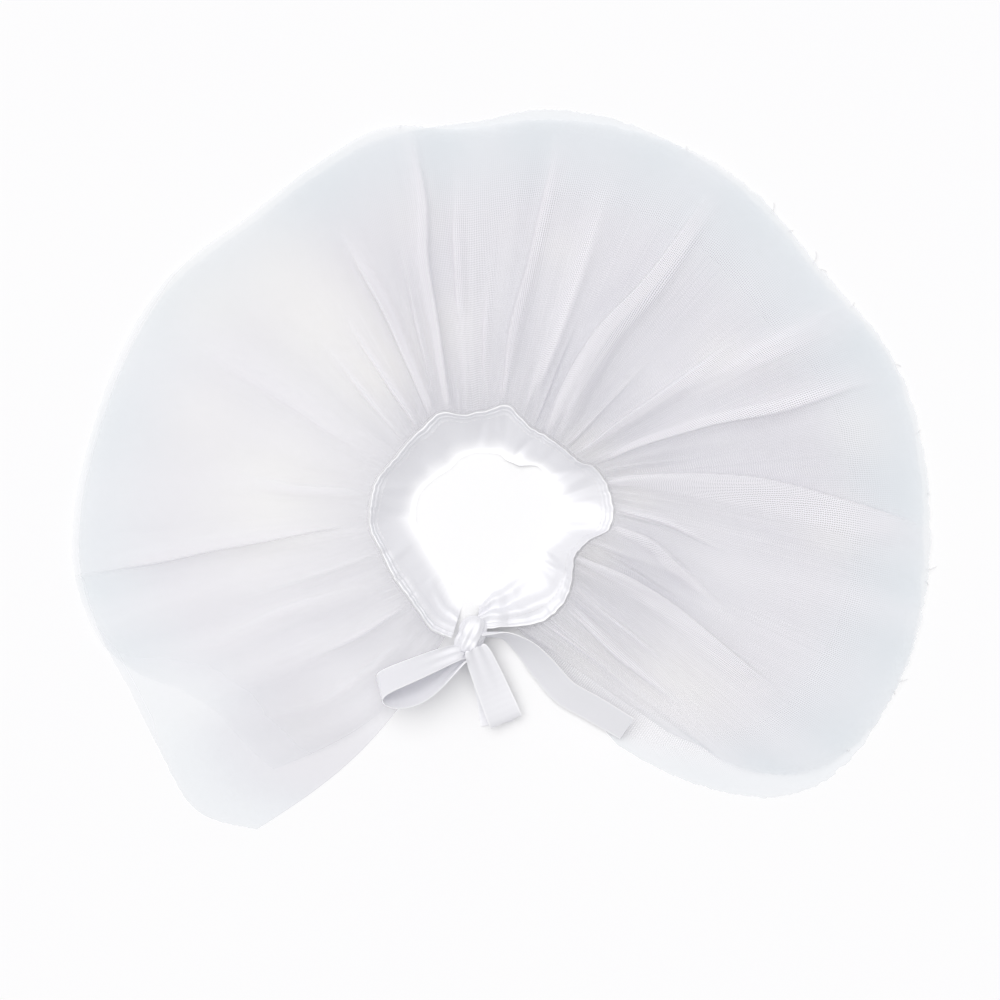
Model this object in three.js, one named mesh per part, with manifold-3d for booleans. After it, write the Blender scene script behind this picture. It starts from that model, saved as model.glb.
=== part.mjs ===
// A small dog's tutu dress in white tulle, laid out on a table with its ribbon tied. Two gathered layers of tulle fan
// out round a waistband of satin ribbon, which stands on its edge and leans outwards, and closes in front with a bow.
// Millimetres, +Z up, the table at Z 0 and the bow towards -Y. Plan angles are in degrees, anticlockwise from +X,
// round the middle of the waistband, so the skirt runs from its right front edge, by the back, to its left front edge.
import * as THREE from "three";
import { mergeVertices } from "three/addons/utils/BufferGeometryUtils.js";
import Module from "manifold-3d";

const wasm = await Module();
wasm.setup();

// ---- Driving dimensions ----
const RING_X = -6.3; // middle of the waistband, from the middle of the whole dress
const RING_Y = -28;
const TULLE_WALL = 1.0;
const SATIN_WALL = 1.1;
const CASING_WALL = 2.0; // the waistband's raised edge, folded over the gathered tulle
const SEAM_GAP = 0.3; // between pieces that are joined
const TIE_WIDTH = 19; // ribbon of the bow

const SKIRT = {
  gathers: 60,
  gatherDepth: 3.2, // of the top layer, at its fullest
  gatherFullest: 14, // where the gathers stand highest, from the seam
  gatherAtSeam: 0.45, // share of that height that is left where the casing presses them down
  gatherReach: 46, // the gathers die away over this length
  underGathers: 20,
  underDepth: 1.4,
  flow: 20, // wider waves that the gathers run into
  flowDepth: 1.9,
  flowFullest: 30,
  flowFrom: 40, // the wide waves die away from here
  flowReach: 90,
  hemWaves: 9,
  hemDepth: 1.3,
  layerGap: 1.15, // between the two layers' walls where they lie flat
  seamDrop: 7, // the tulle enters the casing this far below the waistband's raised edge
  fall: 62, // the cloth comes down from the waistband to the table over this length
  topFall: 1.075, // the top layer comes down this much more slowly
  frontBow: 11, // the left front edge bends forward by this in its middle
  frontBowFrom: 212, // from the thread that leaves the seam at this angle
  frontFall: 0.07, // share of the skirt beside each front edge where the cloth lies lower
  frontHeight: 0.3, // share of its height that is left at the front edge itself
  seamOffset: 2.1, // from the middle of the casing to the first thread of tulle
  columns: 240,
  underColumns: 84,
};

const RIBBON_STEPS = 22;

// ---- Tables ----
function table(names, rows) {
  return Object.fromEntries(names.map((name, k) => [name, rows.map((row) => row[k])]));
}

// The waistband: radius of its raised outer edge and of its foot on the table, and the height of the outer edge.
const BAND = table(
  ["angle", "rim", "foot", "height"],
  [
    [-97, 61.0, 54.0, 11],
    [-86, 59.4, 44.8, 10],
    [-76, 60.6, 41.1, 9],
    [-62, 62.8, 38.3, 9],
    [-50, 61.4, 37.8, 10],
    [-40, 57.8, 38.6, 11],
    [-30, 52.8, 40.8, 13],
    [-23, 50.6, 42.2, 14],
    [-12, 55.2, 42.8, 12],
    [-4, 66.0, 43.0, 8],
    [4, 68.3, 43.3, 6.5],
    [16, 67.5, 45.8, 8],
    [26, 64.8, 47.8, 12],
    [34, 58.3, 48.3, 16],
    [46, 56.2, 48.9, 18],
    [64, 55.3, 43.0, 17],
    [74, 59.4, 43.3, 17],
    [82, 63.9, 45.6, 18],
    [92, 60.2, 46.1, 16],
    [103, 59.4, 47.0, 16],
    [115, 65.0, 46.7, 17],
    [128, 62.6, 44.8, 16],
    [145, 62.0, 47.4, 17],
    [164, 66.1, 50.6, 17],
    [181, 66.1, 50.0, 16],
    [198, 61.7, 46.1, 16],
    [220, 61.1, 45.6, 16],
    [233, 63.9, 48.3, 15],
    [243, 68.2, 53.3, 13],
    [252, 68.4, 58.0, 12],
  ],
);

// How each layer fans out: where a thread leaves the seam, and the plan angle and radius at which it reaches the hem.
const FAN = table(
  ["seam", "topTurn", "topReach", "underTurn", "underReach"],
  [
    [-76, -50, 153, -60.5, 143],
    [-66, -47, 172, -56.5, 163],
    [-54, -45.5, 190, -51.6, 188],
    [-42, -41, 215, -44, 221],
    [-33, -35.5, 231, -37.6, 236],
    [-24, -29, 240, -29, 242],
    [-10, -17, 245, -17, 244],
    [12, -4, 244, -4, 241],
    [24, 18, 242, 18, 240],
    [40, 38, 230, 38, 227],
    [52, 55, 234, 55, 231],
    [70, 71, 229, 71, 233],
    [84, 82, 224, 82, 230],
    [100, 94, 217, 93, 221],
    [115, 106, 225, 106, 220],
    [124, 117, 219, 117, 214],
    [134, 128, 215, 128, 211],
    [148, 146, 224, 146, 220],
    [162, 163, 225, 163, 222],
    [180, 186, 232, 186, 229],
    [196, 197, 226, 197, 225],
    [208, 203, 214, 206, 221],
    [220, 209, 195, 214, 223],
    [234, 217, 184, 224, 229],
    [249, 229, 183, 233, 215],
  ],
);

// The large folds of the top layer: the seam angle where each begins, the part of the skirt's length that it covers,
// its height and half-width, and how far its crest leans over as a share of the half-width, positive towards the left
// front edge.
const FOLDS = table(
  ["seam", "from", "to", "height", "width", "lean"],
  [
    [-52, 0.1, 0.62, 3.5, 8, 0.1],
    [-38, 0.02, 0.5, 4, 5, -0.17],
    [-25, 0, 0.86, 7.6, 8, 0.25],
    [-8, 0, 0.62, 6, 6, -0.23],
    [3, 0.02, 0.45, 4.5, 5, 0.22],
    [13, 0, 1.02, 8.5, 10, 0.25],
    [25, 0, 0.86, 6, 6, -0.25],
    [40, 0.05, 0.95, 5, 9, 0.12],
    [52, 0, 0.92, 6.4, 6, -0.23],
    [68, 0.1, 0.8, 3, 8, 0],
    [85, 0, 0.95, 6.5, 5, 0.25],
    [102, 0.28, 0.78, 4, 4, -0.21],
    [115, 0, 1, 7.2, 6, -0.25],
    [124, 0, 0.94, 7.2, 7, 0.25],
    [150, 0.08, 0.9, 3, 16, 0.07],
    [181, 0.12, 1.1, 2.6, 6, -0.14],
    [208, 0.1, 0.9, 2.6, 15, 0.07],
    [232, 0.15, 0.85, 2, 10, -0.06],
  ],
);

// ---- Small tools ----
const RAD = Math.PI / 180;
const clamp01 = (x) => Math.min(Math.max(x, 0), 1);
const mix = (a, b, t) => a + (b - a) * t;
const ease = (x) => clamp01(x) ** 2 * (3 - 2 * clamp01(x));
const polar = (angle, radius) =>
  new THREE.Vector2(radius * Math.cos(angle * RAD), radius * Math.sin(angle * RAD));

// A smooth curve through a table's rows that never overshoots them.
function curve(xs, ys) {
  const last = xs.length - 1;
  const slopes = xs.slice(1).map((x, i) => (ys[i + 1] - ys[i]) / (x - xs[i]));
  const tangents = xs.map((_, i) => {
    if (i === 0 || i === last) return slopes[Math.min(i, last - 1)];
    const [a, b] = [slopes[i - 1], slopes[i]];
    return a * b <= 0 ? 0 : (2 * a * b) / (a + b);
  });
  return (x) => {
    const i = Math.min(Math.max(xs.findIndex((value) => value > x) - 1, 0), last - 1);
    const k = x >= xs[last] ? last - 1 : i;
    const h = xs[k + 1] - xs[k];
    const s = clamp01((x - xs[k]) / h);
    return (
      (1 + 2 * s) * (1 - s) ** 2 * ys[k] +
      s * (1 - s) ** 2 * h * tangents[k] +
      s * s * (3 - 2 * s) * ys[k + 1] +
      s * s * (s - 1) * h * tangents[k + 1]
    );
  };
}

const rimRadius = curve(BAND.angle, BAND.rim);
const footRadius = curve(BAND.angle, BAND.foot);
const rimHeight = curve(BAND.angle, BAND.height);

// ---- Walls: a grid of points becomes a closed cloth wall ----
function gridNormals(grid) {
  const rows = grid.length;
  const cols = grid[0].length;
  return grid.map((row, i) =>
    row.map((_, j) => {
      const along = grid[i][Math.min(j + 1, cols - 1)].clone().sub(grid[i][Math.max(j - 1, 0)]);
      const out = grid[Math.min(i + 1, rows - 1)][j].clone().sub(grid[Math.max(i - 1, 0)][j]);
      return along.cross(out).normalize();
    }),
  );
}

// Both faces of a wall round its middle grid. wall(i, j) is its thickness there.
function bothFaces(grid, wall) {
  const normals = gridNormals(grid);
  const face = (side) =>
    grid.map((row, i) =>
      row.map((p, j) => p.clone().addScaledVector(normals[i][j], (side * wall(i, j)) / 2)),
    );
  return [face(1), face(-1)];
}

// Both faces of a wall that lies like a blanket over its middle grid, so that they can't meet on a tight fold.
const STEEPEST = 0.4; // upright share of the steepest wall that still keeps its thickness
function laidFaces(grid, wall) {
  const normals = gridNormals(grid);
  const face = (side) =>
    grid.map((row, i) =>
      row.map((p, j) => {
        const rise = wall / 2 / Math.max(Math.abs(normals[i][j].z), STEEPEST);
        return p.clone().setZ(p.z - side * rise);
      }),
    );
  return [face(1), face(-1)];
}

// One closed mesh between a front and a back grid. Front quads turn so that they face along the grid's normals.
function wallGeometry(front, back) {
  const rows = front.length;
  const cols = front[0].length;
  const at = (side, i, j) => (side * rows + i) * cols + j;
  const index = [];
  const quad = (a, b, c, d) => index.push(a, b, c, a, c, d);
  for (let i = 0; i < rows - 1; i++)
    for (let j = 0; j < cols - 1; j++) {
      quad(at(0, i, j), at(0, i, j + 1), at(0, i + 1, j + 1), at(0, i + 1, j));
      quad(at(1, i, j), at(1, i + 1, j), at(1, i + 1, j + 1), at(1, i, j + 1));
    }
  for (let j = 0; j < cols - 1; j++) {
    quad(at(0, 0, j + 1), at(0, 0, j), at(1, 0, j), at(1, 0, j + 1));
    quad(at(0, rows - 1, j), at(0, rows - 1, j + 1), at(1, rows - 1, j + 1), at(1, rows - 1, j));
  }
  for (let i = 0; i < rows - 1; i++) {
    quad(at(0, i, 0), at(0, i + 1, 0), at(1, i + 1, 0), at(1, i, 0));
    quad(at(0, i + 1, cols - 1), at(0, i, cols - 1), at(1, i, cols - 1), at(1, i + 1, cols - 1));
  }
  const positions = [...front.flat(), ...back.flat()].flatMap((p) => p.toArray());
  return new THREE.BufferGeometry()
    .setAttribute("position", new THREE.Float32BufferAttribute(positions, 3))
    .setIndex(index);
}

// ---- Skirt ----
const SEAM_START = FAN.seam[0];
const SEAM_END = FAN.seam.at(-1);

// Rows of the skirt's grids as shares of its length, closer together where the gathers are.
const TOP_ROWS = [0, 0.06, 0.15, 0.28, 0.46, 0.7, 1];
const UNDER_ROWS = [0, 0.09, 0.19, 0.32, 0.6, 1];

// One layer's plan: the point on the seam and on the hem of the thread that leaves the seam at an angle.
function layerPlan(turn, reach) {
  const hemAngle = curve(FAN.seam, turn);
  const hemRadius = curve(FAN.seam, reach);
  return (seam) => ({
    start: polar(seam, rimRadius(seam) + SKIRT.seamOffset),
    hem: polar(hemAngle(seam), hemRadius(seam)),
  });
}

const topPlan = layerPlan(FAN.topTurn, FAN.topReach);
const underPlan = layerPlan(FAN.underTurn, FAN.underReach);

// A slow uneven rise and fall round the skirt, between 0 and 1, so that no two gathers are alike.
function unevenness(seam) {
  return 0.62 + 0.24 * Math.sin(0.093 * seam + 1.1) + 0.14 * Math.sin(0.271 * seam + 2.3);
}

// Rounded ridges between flat valleys, between 0 and 1.
function ridges(count, seam, shift) {
  const turn = (seam - SEAM_START) / (SEAM_END - SEAM_START);
  return 0.5 - 0.5 * Math.cos(2 * Math.PI * count * turn + shift);
}

// How much the gathers stand up at a distance from the seam.
function gatherSwell(d) {
  const risen = mix(SKIRT.gatherAtSeam, 1, ease(d / SKIRT.gatherFullest));
  return risen * (1 - ease((d - SKIRT.gatherFullest) / SKIRT.gatherReach));
}

// Height of the under layer's lower face: held up at the waistband, then flat on the table.
function underFloor(seam, d) {
  const turn = (seam - SEAM_START) / (SEAM_END - SEAM_START);
  const front = ease(turn / SKIRT.frontFall) * ease((1 - turn) / SKIRT.frontFall);
  const hung = Math.max(rimHeight(seam) - SKIRT.seamDrop, 0) * mix(SKIRT.frontHeight, 1, front);
  return hung * (1 - ease(d / SKIRT.fall));
}

function underHeight(seam, d) {
  return underFloor(seam, d) + SKIRT.underDepth * gatherSwell(d) * ridges(SKIRT.underGathers, seam, 0);
}

// Height of the middle of the top layer without its large folds.
function topHeight(seam, d, length) {
  const under = underFloor(seam, d / SKIRT.topFall) + SKIRT.underDepth * gatherSwell(d) + TULLE_WALL;
  const clear = under + SKIRT.layerGap;
  const gathers = SKIRT.gatherDepth * unevenness(seam) * gatherSwell(d) * ridges(SKIRT.gathers, seam, 0);
  const flowing = ease(d / SKIRT.flowFullest) * (1 - ease((d - SKIRT.flowFrom) / SKIRT.flowReach));
  const flow = SKIRT.flowDepth * flowing * unevenness(1.7 * seam) * ridges(SKIRT.flow, seam, 1.2);
  const hem = SKIRT.hemDepth * ease(d / length) * ridges(SKIRT.hemWaves, seam, 2.6);
  return clear + gathers + flow + hem;
}

const FOLD_START = 0.55; // a fold's width at the seam, as a share of the table's, and how much wider it is at the hem
const FOLD_SPREAD = 0.8;
const FOLD_PEAK = 0.7; // below 1, a fold stands highest nearer to the seam than to its end

// What a large fold does to a thread at a share of its length: its lift and its sideways lean.
function foldLift(k, seam, share, place) {
  const along = (share - FOLDS.from[k]) / (FOLDS.to[k] - FOLDS.from[k]);
  if (along <= 0 || along >= 1) return { lift: 0, lean: 0 };
  const crest = threadAt(topPlan(FOLDS.seam[k]), FOLDS.seam[k], share).place;
  const across = place.distanceTo(crest) * Math.sign(seam - FOLDS.seam[k]);
  const width = FOLDS.width[k] * (FOLD_START + FOLD_SPREAD * share);
  if (Math.abs(across) >= width) return { lift: 0, lean: 0 };
  const body = Math.cos((Math.PI * across) / (2 * width)) ** 2;
  const swell = Math.sin(Math.PI * along ** FOLD_PEAK);
  return { lift: FOLDS.height[k] * swell * body, lean: FOLDS.lean[k] * width * swell * body };
}

// The plan of a thread at a share of its length, and the direction sideways from it, towards the left front edge.
function threadAt({ start, hem }, seam, share) {
  const outward = hem.clone().sub(start).normalize();
  const sideways = new THREE.Vector2(-outward.y, outward.x);
  const bent = SKIRT.frontBow * ease((seam - SKIRT.frontBowFrom) / (SEAM_END - SKIRT.frontBowFrom));
  const place = start.clone().lerp(hem, share).addScaledVector(sideways, bent * Math.sin(Math.PI * share));
  return { place, sideways };
}

function topPoint(seam, share) {
  const { start, hem } = topPlan(seam);
  const { place, sideways } = threadAt({ start, hem }, seam, share);
  const length = start.distanceTo(hem);
  let height = topHeight(seam, share * length, length);
  let lean = 0;
  FOLDS.seam.forEach((_, k) => {
    const fold = foldLift(k, seam, share, place);
    height += fold.lift;
    lean += fold.lean;
  });
  place.addScaledVector(sideways, lean);
  return new THREE.Vector3(place.x, place.y, height);
}

function underPoint(seam, share) {
  const { start, hem } = underPlan(seam);
  const { place } = threadAt({ start, hem }, seam, share);
  return new THREE.Vector3(place.x, place.y, underHeight(seam, share * start.distanceTo(hem)));
}

// A layer's grid: columns round the seam from the right front edge, rows from the seam to the hem.
function layerGrid(rows, columns, point) {
  return rows.map((share) =>
    Array.from({ length: columns + 1 }, (_, j) => point(mix(SEAM_START, SEAM_END, j / columns), share)),
  );
}

function skirtTop() {
  const grid = layerGrid(TOP_ROWS, SKIRT.columns, topPoint);
  const [front, back] = laidFaces(grid, TULLE_WALL);
  return wallGeometry(front, back);
}

function skirtUnder() {
  const lower = layerGrid(UNDER_ROWS, SKIRT.underColumns, underPoint);
  const upper = lower.map((row) => row.map((p) => p.clone().setZ(p.z + TULLE_WALL)));
  return wallGeometry(lower, upper);
}

// ---- Waistband ----
const BAND_STEPS = 76;
const BAND_LEVELS = [0, 0.4, 0.76, 0.84, 1]; // shares of its width from the foot, closer together at the casing
const CASING_FROM = 0.8; // share of the width where the casing starts
const BAND_BELLY = 1.6; // the soft ribbon bends this far upwards and half as far outwards in its middle
const FOOT_CLEAR = 0.1; // from the foot to the table

function waistband() {
  const [from, to] = [BAND.angle[0], BAND.angle.at(-1)];
  const grid = BAND_LEVELS.map((level) =>
    Array.from({ length: BAND_STEPS + 1 }, (_, j) => {
      const angle = mix(from, to, j / BAND_STEPS);
      const belly = BAND_BELLY * Math.sin(Math.PI * level);
      const at = polar(angle, mix(footRadius(angle), rimRadius(angle), level) + belly / 2);
      const rise = mix(SATIN_WALL / 2 + FOOT_CLEAR, rimHeight(angle), level) + belly;
      return new THREE.Vector3(at.x, at.y, rise);
    }),
  );
  const thickness = (i) => (BAND_LEVELS[i] > CASING_FROM ? CASING_WALL : SATIN_WALL);
  const [front, back] = bothFaces(grid, thickness);
  return wallGeometry(front, back);
}

// ---- Bow ----
// The knot's middle, its half-length, half-width and half-height, and the plan angle that it lies at.
const KNOT = { x: -11.4, y: -62.6, z: 8.6, length: 11.5, width: 6.4, height: 5.2, angle: 248, creases: 5, crease: 0.07, fullness: 0.22 };

// The knot is a barrel of wrapped ribbon with shallow creases along it. grow makes a larger copy for trimming.
function knotGeometry(grow) {
  const shape = new THREE.SphereGeometry(1, 16, 9).rotateZ(Math.PI / 2);
  const position = shape.getAttribute("position");
  const p = new THREE.Vector3();
  for (let i = 0; i < position.count; i++) {
    p.fromBufferAttribute(position, i);
    const round = Math.atan2(p.z, p.y);
    const crease = 1 + KNOT.crease * Math.cos(KNOT.creases * round + 2 * p.x) * (1 - p.x * p.x);
    const barrel = 1 + KNOT.fullness * p.x * p.x; // fuller than an egg towards its ends
    p.set(p.x, p.y * crease * barrel, p.z * crease * barrel);
    position.setXYZ(i, p.x, p.y, p.z);
  }
  return shape
    .scale(KNOT.length + grow, KNOT.width + grow, KNOT.height + grow)
    .rotateZ(KNOT.angle * RAD)
    .translate(KNOT.x, KNOT.y, KNOT.z);
}

// A length of ribbon: edge(t) is a point on its first edge, across(t) points to its other edge.
function ribbonGeometry(steps, edge, across, width, camber = 0) {
  const shares = [0, 0.5, 1];
  const lines = shares.map((share) =>
    Array.from({ length: steps + 1 }, (_, j) => {
      const t = j / steps;
      return edge(t).addScaledVector(across(t), share * width(t));
    }),
  );
  const normals = gridNormals(lines);
  const arched = lines.map((line, i) =>
    line.map((p, j) => p.clone().addScaledVector(normals[i][j], camber * Math.sin(Math.PI * shares[i]))),
  );
  const [front, back] = bothFaces(arched, () => SATIN_WALL);
  return wallGeometry(front, back);
}

// A drop-shaped loop in plan or in side view: along an axis from the knot and back, widest near its far end.
// At the knot its two leaves are a mouth apart, and its middle sags away from the first leaf.
function loopPath({ from, axis, side, length, breadth, swell, mouth, sag = 0 }) {
  const drop = (t) =>
    breadth * Math.sin(2 * Math.PI * t) * Math.sin(Math.PI * t) ** swell -
    sag * Math.sin(2 * Math.PI * t) ** 2 * Math.sin(Math.PI * t);
  return (t) =>
    from
      .clone()
      .addScaledVector(axis, (length * (1 - Math.cos(2 * Math.PI * t))) / 2)
      .addScaledVector(side, drop(t) + (mouth / 2) * Math.cos(Math.PI * t));
}

// The left loop stands on its edge and leans to the front.
function loopLeft() {
  const heading = 206.5 * RAD;
  const path = loopPath({
    from: new THREE.Vector3(-13.4, -77.0, 16.8),
    axis: new THREE.Vector3(Math.cos(heading), Math.sin(heading), 0),
    side: new THREE.Vector3(Math.sin(heading), -Math.cos(heading), 0),
    length: 50,
    breadth: 9.5,
    swell: 1.2,
    mouth: 2.4,
    sag: 6,
  });
  const full = (t) => Math.sin(Math.PI * t) ** 0.55;
  const edge = (t) => path(t).add(new THREE.Vector3(0, 0, 8.4 * full(t)));
  const down = new THREE.Vector3(-3.4, 7.5, -17.1).normalize();
  return ribbonGeometry(RIBBON_STEPS + 6, edge, () => down, (t) => mix(8.5, TIE_WIDTH, full(t)));
}

// The middle loop lies down over its own ribbon end, one leaf above the other.
function loopMiddle() {
  const heading = -69 * RAD;
  const axis = new THREE.Vector3(Math.cos(heading), Math.sin(heading), -0.06).normalize();
  const side = new THREE.Vector3(-Math.sin(heading), Math.cos(heading), 0);
  const path = loopPath({
    from: new THREE.Vector3(-6.6, -70.0, 8.2),
    axis,
    side: new THREE.Vector3(0, 0, 1),
    length: 44.5,
    breadth: 4.4,
    swell: 0.7,
    mouth: 2.4,
  });
  const width = (t) => mix(11, TIE_WIDTH, Math.sin(Math.PI * t) ** 0.4);
  const edge = (t) => path(t).addScaledVector(side, -width(t) / 2);
  return ribbonGeometry(RIBBON_STEPS, edge, () => side, width);
}

// A free end of the tie: its middle line, its bank from flat and its width, from the knot to the cut end.
function tail(rows, steps, camber) {
  const line = new THREE.CatmullRomCurve3(rows.x.map((x, i) => new THREE.Vector3(x, rows.y[i], rows.z[i])));
  const shares = rows.x.map((_, i) => i / (rows.x.length - 1));
  const bank = curve(shares, rows.bank);
  const width = curve(shares, rows.width);
  const across = (t) => {
    const along = line.getTangent(t);
    const flat = new THREE.Vector3(-along.y, along.x, 0).normalize();
    return flat.multiplyScalar(Math.cos(bank(t) * RAD)).add(new THREE.Vector3(0, 0, Math.sin(bank(t) * RAD)));
  };
  const edge = (t) => line.getPoint(t).addScaledVector(across(t), -width(t) / 2);
  return ribbonGeometry(steps, edge, across, width, camber);
}

const TAIL_MIDDLE = table(
  ["x", "y", "z", "bank", "width"],
  [
    [-8.5, -70.5, 3.2, 0, 10],
    [-6.6, -78.0, 1.6, 0, 15],
    [-3.6, -88.0, 0.75, 0, 18.5],
    [0.0, -101.0, 0.65, 0, TIE_WIDTH],
    [3.4, -114.0, 0.65, 0, TIE_WIDTH],
  ],
);

const TAIL_RIGHT = table(
  ["x", "y", "z", "bank", "width"],
  [
    [-4.5, -63.5, 9.0, 78, 9],
    [6.0, -63.4, 9.4, 70, 13],
    [18.4, -70.2, 8.6, 52, 17.5],
    [29.4, -81.8, 8.4, 40, TIE_WIDTH],
    [41.2, -94.8, 8.6, 38, TIE_WIDTH],
    [57.0, -104.0, 9.0, 38, TIE_WIDTH],
    [75.6, -115.0, 9.4, 42, TIE_WIDTH],
  ],
);

// ---- Trimming what runs into the knot ----
function solidOf(geometry) {
  const bare = geometry.clone();
  bare.deleteAttribute("normal");
  bare.deleteAttribute("uv");
  const merged = mergeVertices(bare, 1e-4);
  const vertProperties = merged.getAttribute("position").array;
  const triVerts = new Uint32Array(merged.index.array);
  return new wasm.Manifold(new wasm.Mesh({ numProp: 3, vertProperties, triVerts }));
}

function geometryOf(solid) {
  const mesh = solid.getMesh();
  return new THREE.BufferGeometry()
    .setAttribute("position", new THREE.BufferAttribute(mesh.vertProperties, 3))
    .setIndex(new THREE.BufferAttribute(mesh.triVerts, 1));
}

const TRIM_SLIVER = 0.02; // features smaller than this go from a trimmed piece
const knotRoom = solidOf(knotGeometry(SEAM_GAP));

// The largest body that is left of a piece outside the knot.
function trimmed(geometry) {
  const bodies = solidOf(geometry).subtract(knotRoom).decompose();
  return geometryOf(bodies.sort((a, b) => b.volume() - a.volume())[0].simplify(TRIM_SLIVER));
}

// ---- Assembly ----
const tulle = new THREE.MeshStandardMaterial({ color: 0xf1f2f5, roughness: 0.85, metalness: 0 });
const satin = new THREE.MeshStandardMaterial({ color: 0xf8f7f5, roughness: 0.42, metalness: 0 });

const dress = new THREE.Group();
function add(name, geometry, material) {
  const piece = new THREE.Mesh(geometry, material);
  piece.name = name;
  piece.position.set(RING_X, RING_Y, 0);
  dress.add(piece);
}

add("skirt_under", skirtUnder(), tulle);
add("skirt_top", skirtTop(), tulle);
add("waistband", trimmed(waistband()), satin);
add("bow_knot", knotGeometry(0), satin);
add("bow_loop_left", trimmed(loopLeft()), satin);
add("bow_loop_middle", trimmed(loopMiddle()), satin);
add("tie_tail_middle", trimmed(tail(TAIL_MIDDLE, 14, 0)), satin);
add("tie_tail_right", trimmed(tail(TAIL_RIGHT, 24, 0.8)), satin);

export default dress;
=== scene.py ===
"""A dog's tutu skirt in white tulle with a satin ribbon bow, laid out flat on a pale table.

Two gathered layers of tulle fan out round a waistband of satin ribbon. Sizes in the tables are in millimetres
and plan angles in degrees, anticlockwise from +X round the middle of the waistband, as in the part's own
source.
"""
import math

import bmesh
import bpy
import numpy as np
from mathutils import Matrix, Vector


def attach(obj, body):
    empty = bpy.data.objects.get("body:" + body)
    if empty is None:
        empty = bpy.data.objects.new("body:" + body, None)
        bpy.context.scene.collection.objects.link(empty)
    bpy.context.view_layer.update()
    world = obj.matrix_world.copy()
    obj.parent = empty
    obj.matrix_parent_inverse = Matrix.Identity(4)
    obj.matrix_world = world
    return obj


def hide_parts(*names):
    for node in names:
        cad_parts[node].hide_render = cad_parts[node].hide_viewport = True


bl_info = {
    "name": "Dog tutu skirt",
    "version": (1, 0, 0),
    "blender": (4, 5, 0),
    "location": "3D View > Sidebar > Tutu",
    "description": "Makes a gathered tulle tutu skirt with a satin ribbon bow, laid out flat",
    "category": "Add Mesh",
}

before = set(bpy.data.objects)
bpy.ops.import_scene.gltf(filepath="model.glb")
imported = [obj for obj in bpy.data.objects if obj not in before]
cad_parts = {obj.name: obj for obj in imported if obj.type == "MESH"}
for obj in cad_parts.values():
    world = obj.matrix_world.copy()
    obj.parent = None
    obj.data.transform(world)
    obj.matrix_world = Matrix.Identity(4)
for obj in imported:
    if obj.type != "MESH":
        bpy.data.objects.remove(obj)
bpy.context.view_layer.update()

MM = 0.001
RING = (-6.3, -28.0)  # middle of the waistband


# ---- Tables --------------------------------------------------------------------------------------

def table(names, rows):
    """Rows of numbers as named columns."""
    columns = np.array(rows, dtype=float).T
    return {name: columns[k] for k, name in enumerate(names)}


# The waistband: radius of its raised outer edge and of its foot on the table, and the height of the outer
# edge.
BAND = table(
    ("angle", "rim", "foot", "height"),
    [
        (-97, 61.0, 54.0, 11), (-86, 59.4, 44.8, 10), (-76, 60.6, 41.1, 9), (-62, 62.8, 38.3, 9),
        (-50, 61.4, 37.8, 10), (-40, 57.8, 38.6, 11), (-30, 52.8, 40.8, 13), (-23, 50.6, 42.2, 14),
        (-12, 55.2, 42.8, 12), (-4, 66.0, 43.0, 8), (4, 68.3, 43.3, 6.5), (16, 67.5, 45.8, 8),
        (26, 64.8, 47.8, 12), (34, 58.3, 48.3, 16), (46, 56.2, 48.9, 18), (64, 55.3, 43.0, 17),
        (74, 59.4, 43.3, 17), (82, 63.9, 45.6, 18), (92, 60.2, 46.1, 16), (103, 59.4, 47.0, 16),
        (115, 65.0, 46.7, 17), (128, 62.6, 44.8, 16), (145, 62.0, 47.4, 17), (164, 66.1, 50.6, 17),
        (181, 66.1, 50.0, 16), (198, 61.7, 46.1, 16), (220, 61.1, 45.6, 16), (233, 63.9, 48.3, 15),
        (243, 68.2, 53.3, 13), (252, 68.4, 58.0, 12),
    ],
)

# Soft creases of the waistband: the angles at which one starts at the foot and ends at the raised edge, its
# half-width in degrees, its depth, and the part of the width it covers.
BAND_CREASES = table(
    ("foot_angle", "rim_angle", "width", "depth", "start", "end"),
    [
        (-40, -33, 2.6, -1.0, 0.10, 0.95), (-27, -31, 2.6, 0.9, 0.00, 0.80),
        (-14, -8, 3.8, -0.9, 0.15, 0.98), (-2, 4, 4.2, 0.5, 0.00, 0.80), (11, 7, 4.0, -0.7, 0.20, 0.95),
        (21, 28, 3.4, 0.8, 0.00, 0.85), (35, 30, 3.2, -1.0, 0.10, 0.85), (49, 54, 3.6, 0.9, 0.10, 0.95),
        (68, 61, 3.2, -1.3, 0.00, 0.75), (80, 87, 2.4, 1.0, 0.20, 0.98), (98, 92, 2.8, -0.9, 0.10, 0.85),
        (117, 125, 2.8, 1.0, 0.25, 1.05), (141, 133, 3.6, -0.9, 0.10, 0.85),
        (158, 165, 3.0, 0.9, 0.10, 0.95), (179, 172, 3.6, -0.8, 0.10, 0.85),
        (196, 203, 2.6, 0.9, 0.25, 1.05),
    ],
)

# Pleats along the waistband where it is drawn together for the knot: the angles of the knot and of the
# pleat's end, its level in the band's width at each, its half-width as a share of the band's width, and its
# height.
BAND_PLEATS = table(
    ("knot_angle", "end_angle", "knot_level", "end_level", "width", "depth"),
    [
        (-99, -48, 0.30, 0.16, 0.090, 3.0), (-99, -26, 0.62, 0.72, 0.120, 3.8),
        (-99, -80, 0.84, 0.92, 0.040, 1.2), (-99, -78, 0.46, 0.44, 0.035, 0.9),
        (254, 196, 0.62, 0.72, 0.070, 1.1), (254, 224, 0.36, 0.30, 0.080, 1.2),
        (254, 232, 0.84, 0.87, 0.040, 0.9), (-99, -60, 0.46, 0.42, 0.045, -1.6),
    ],
)

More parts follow.
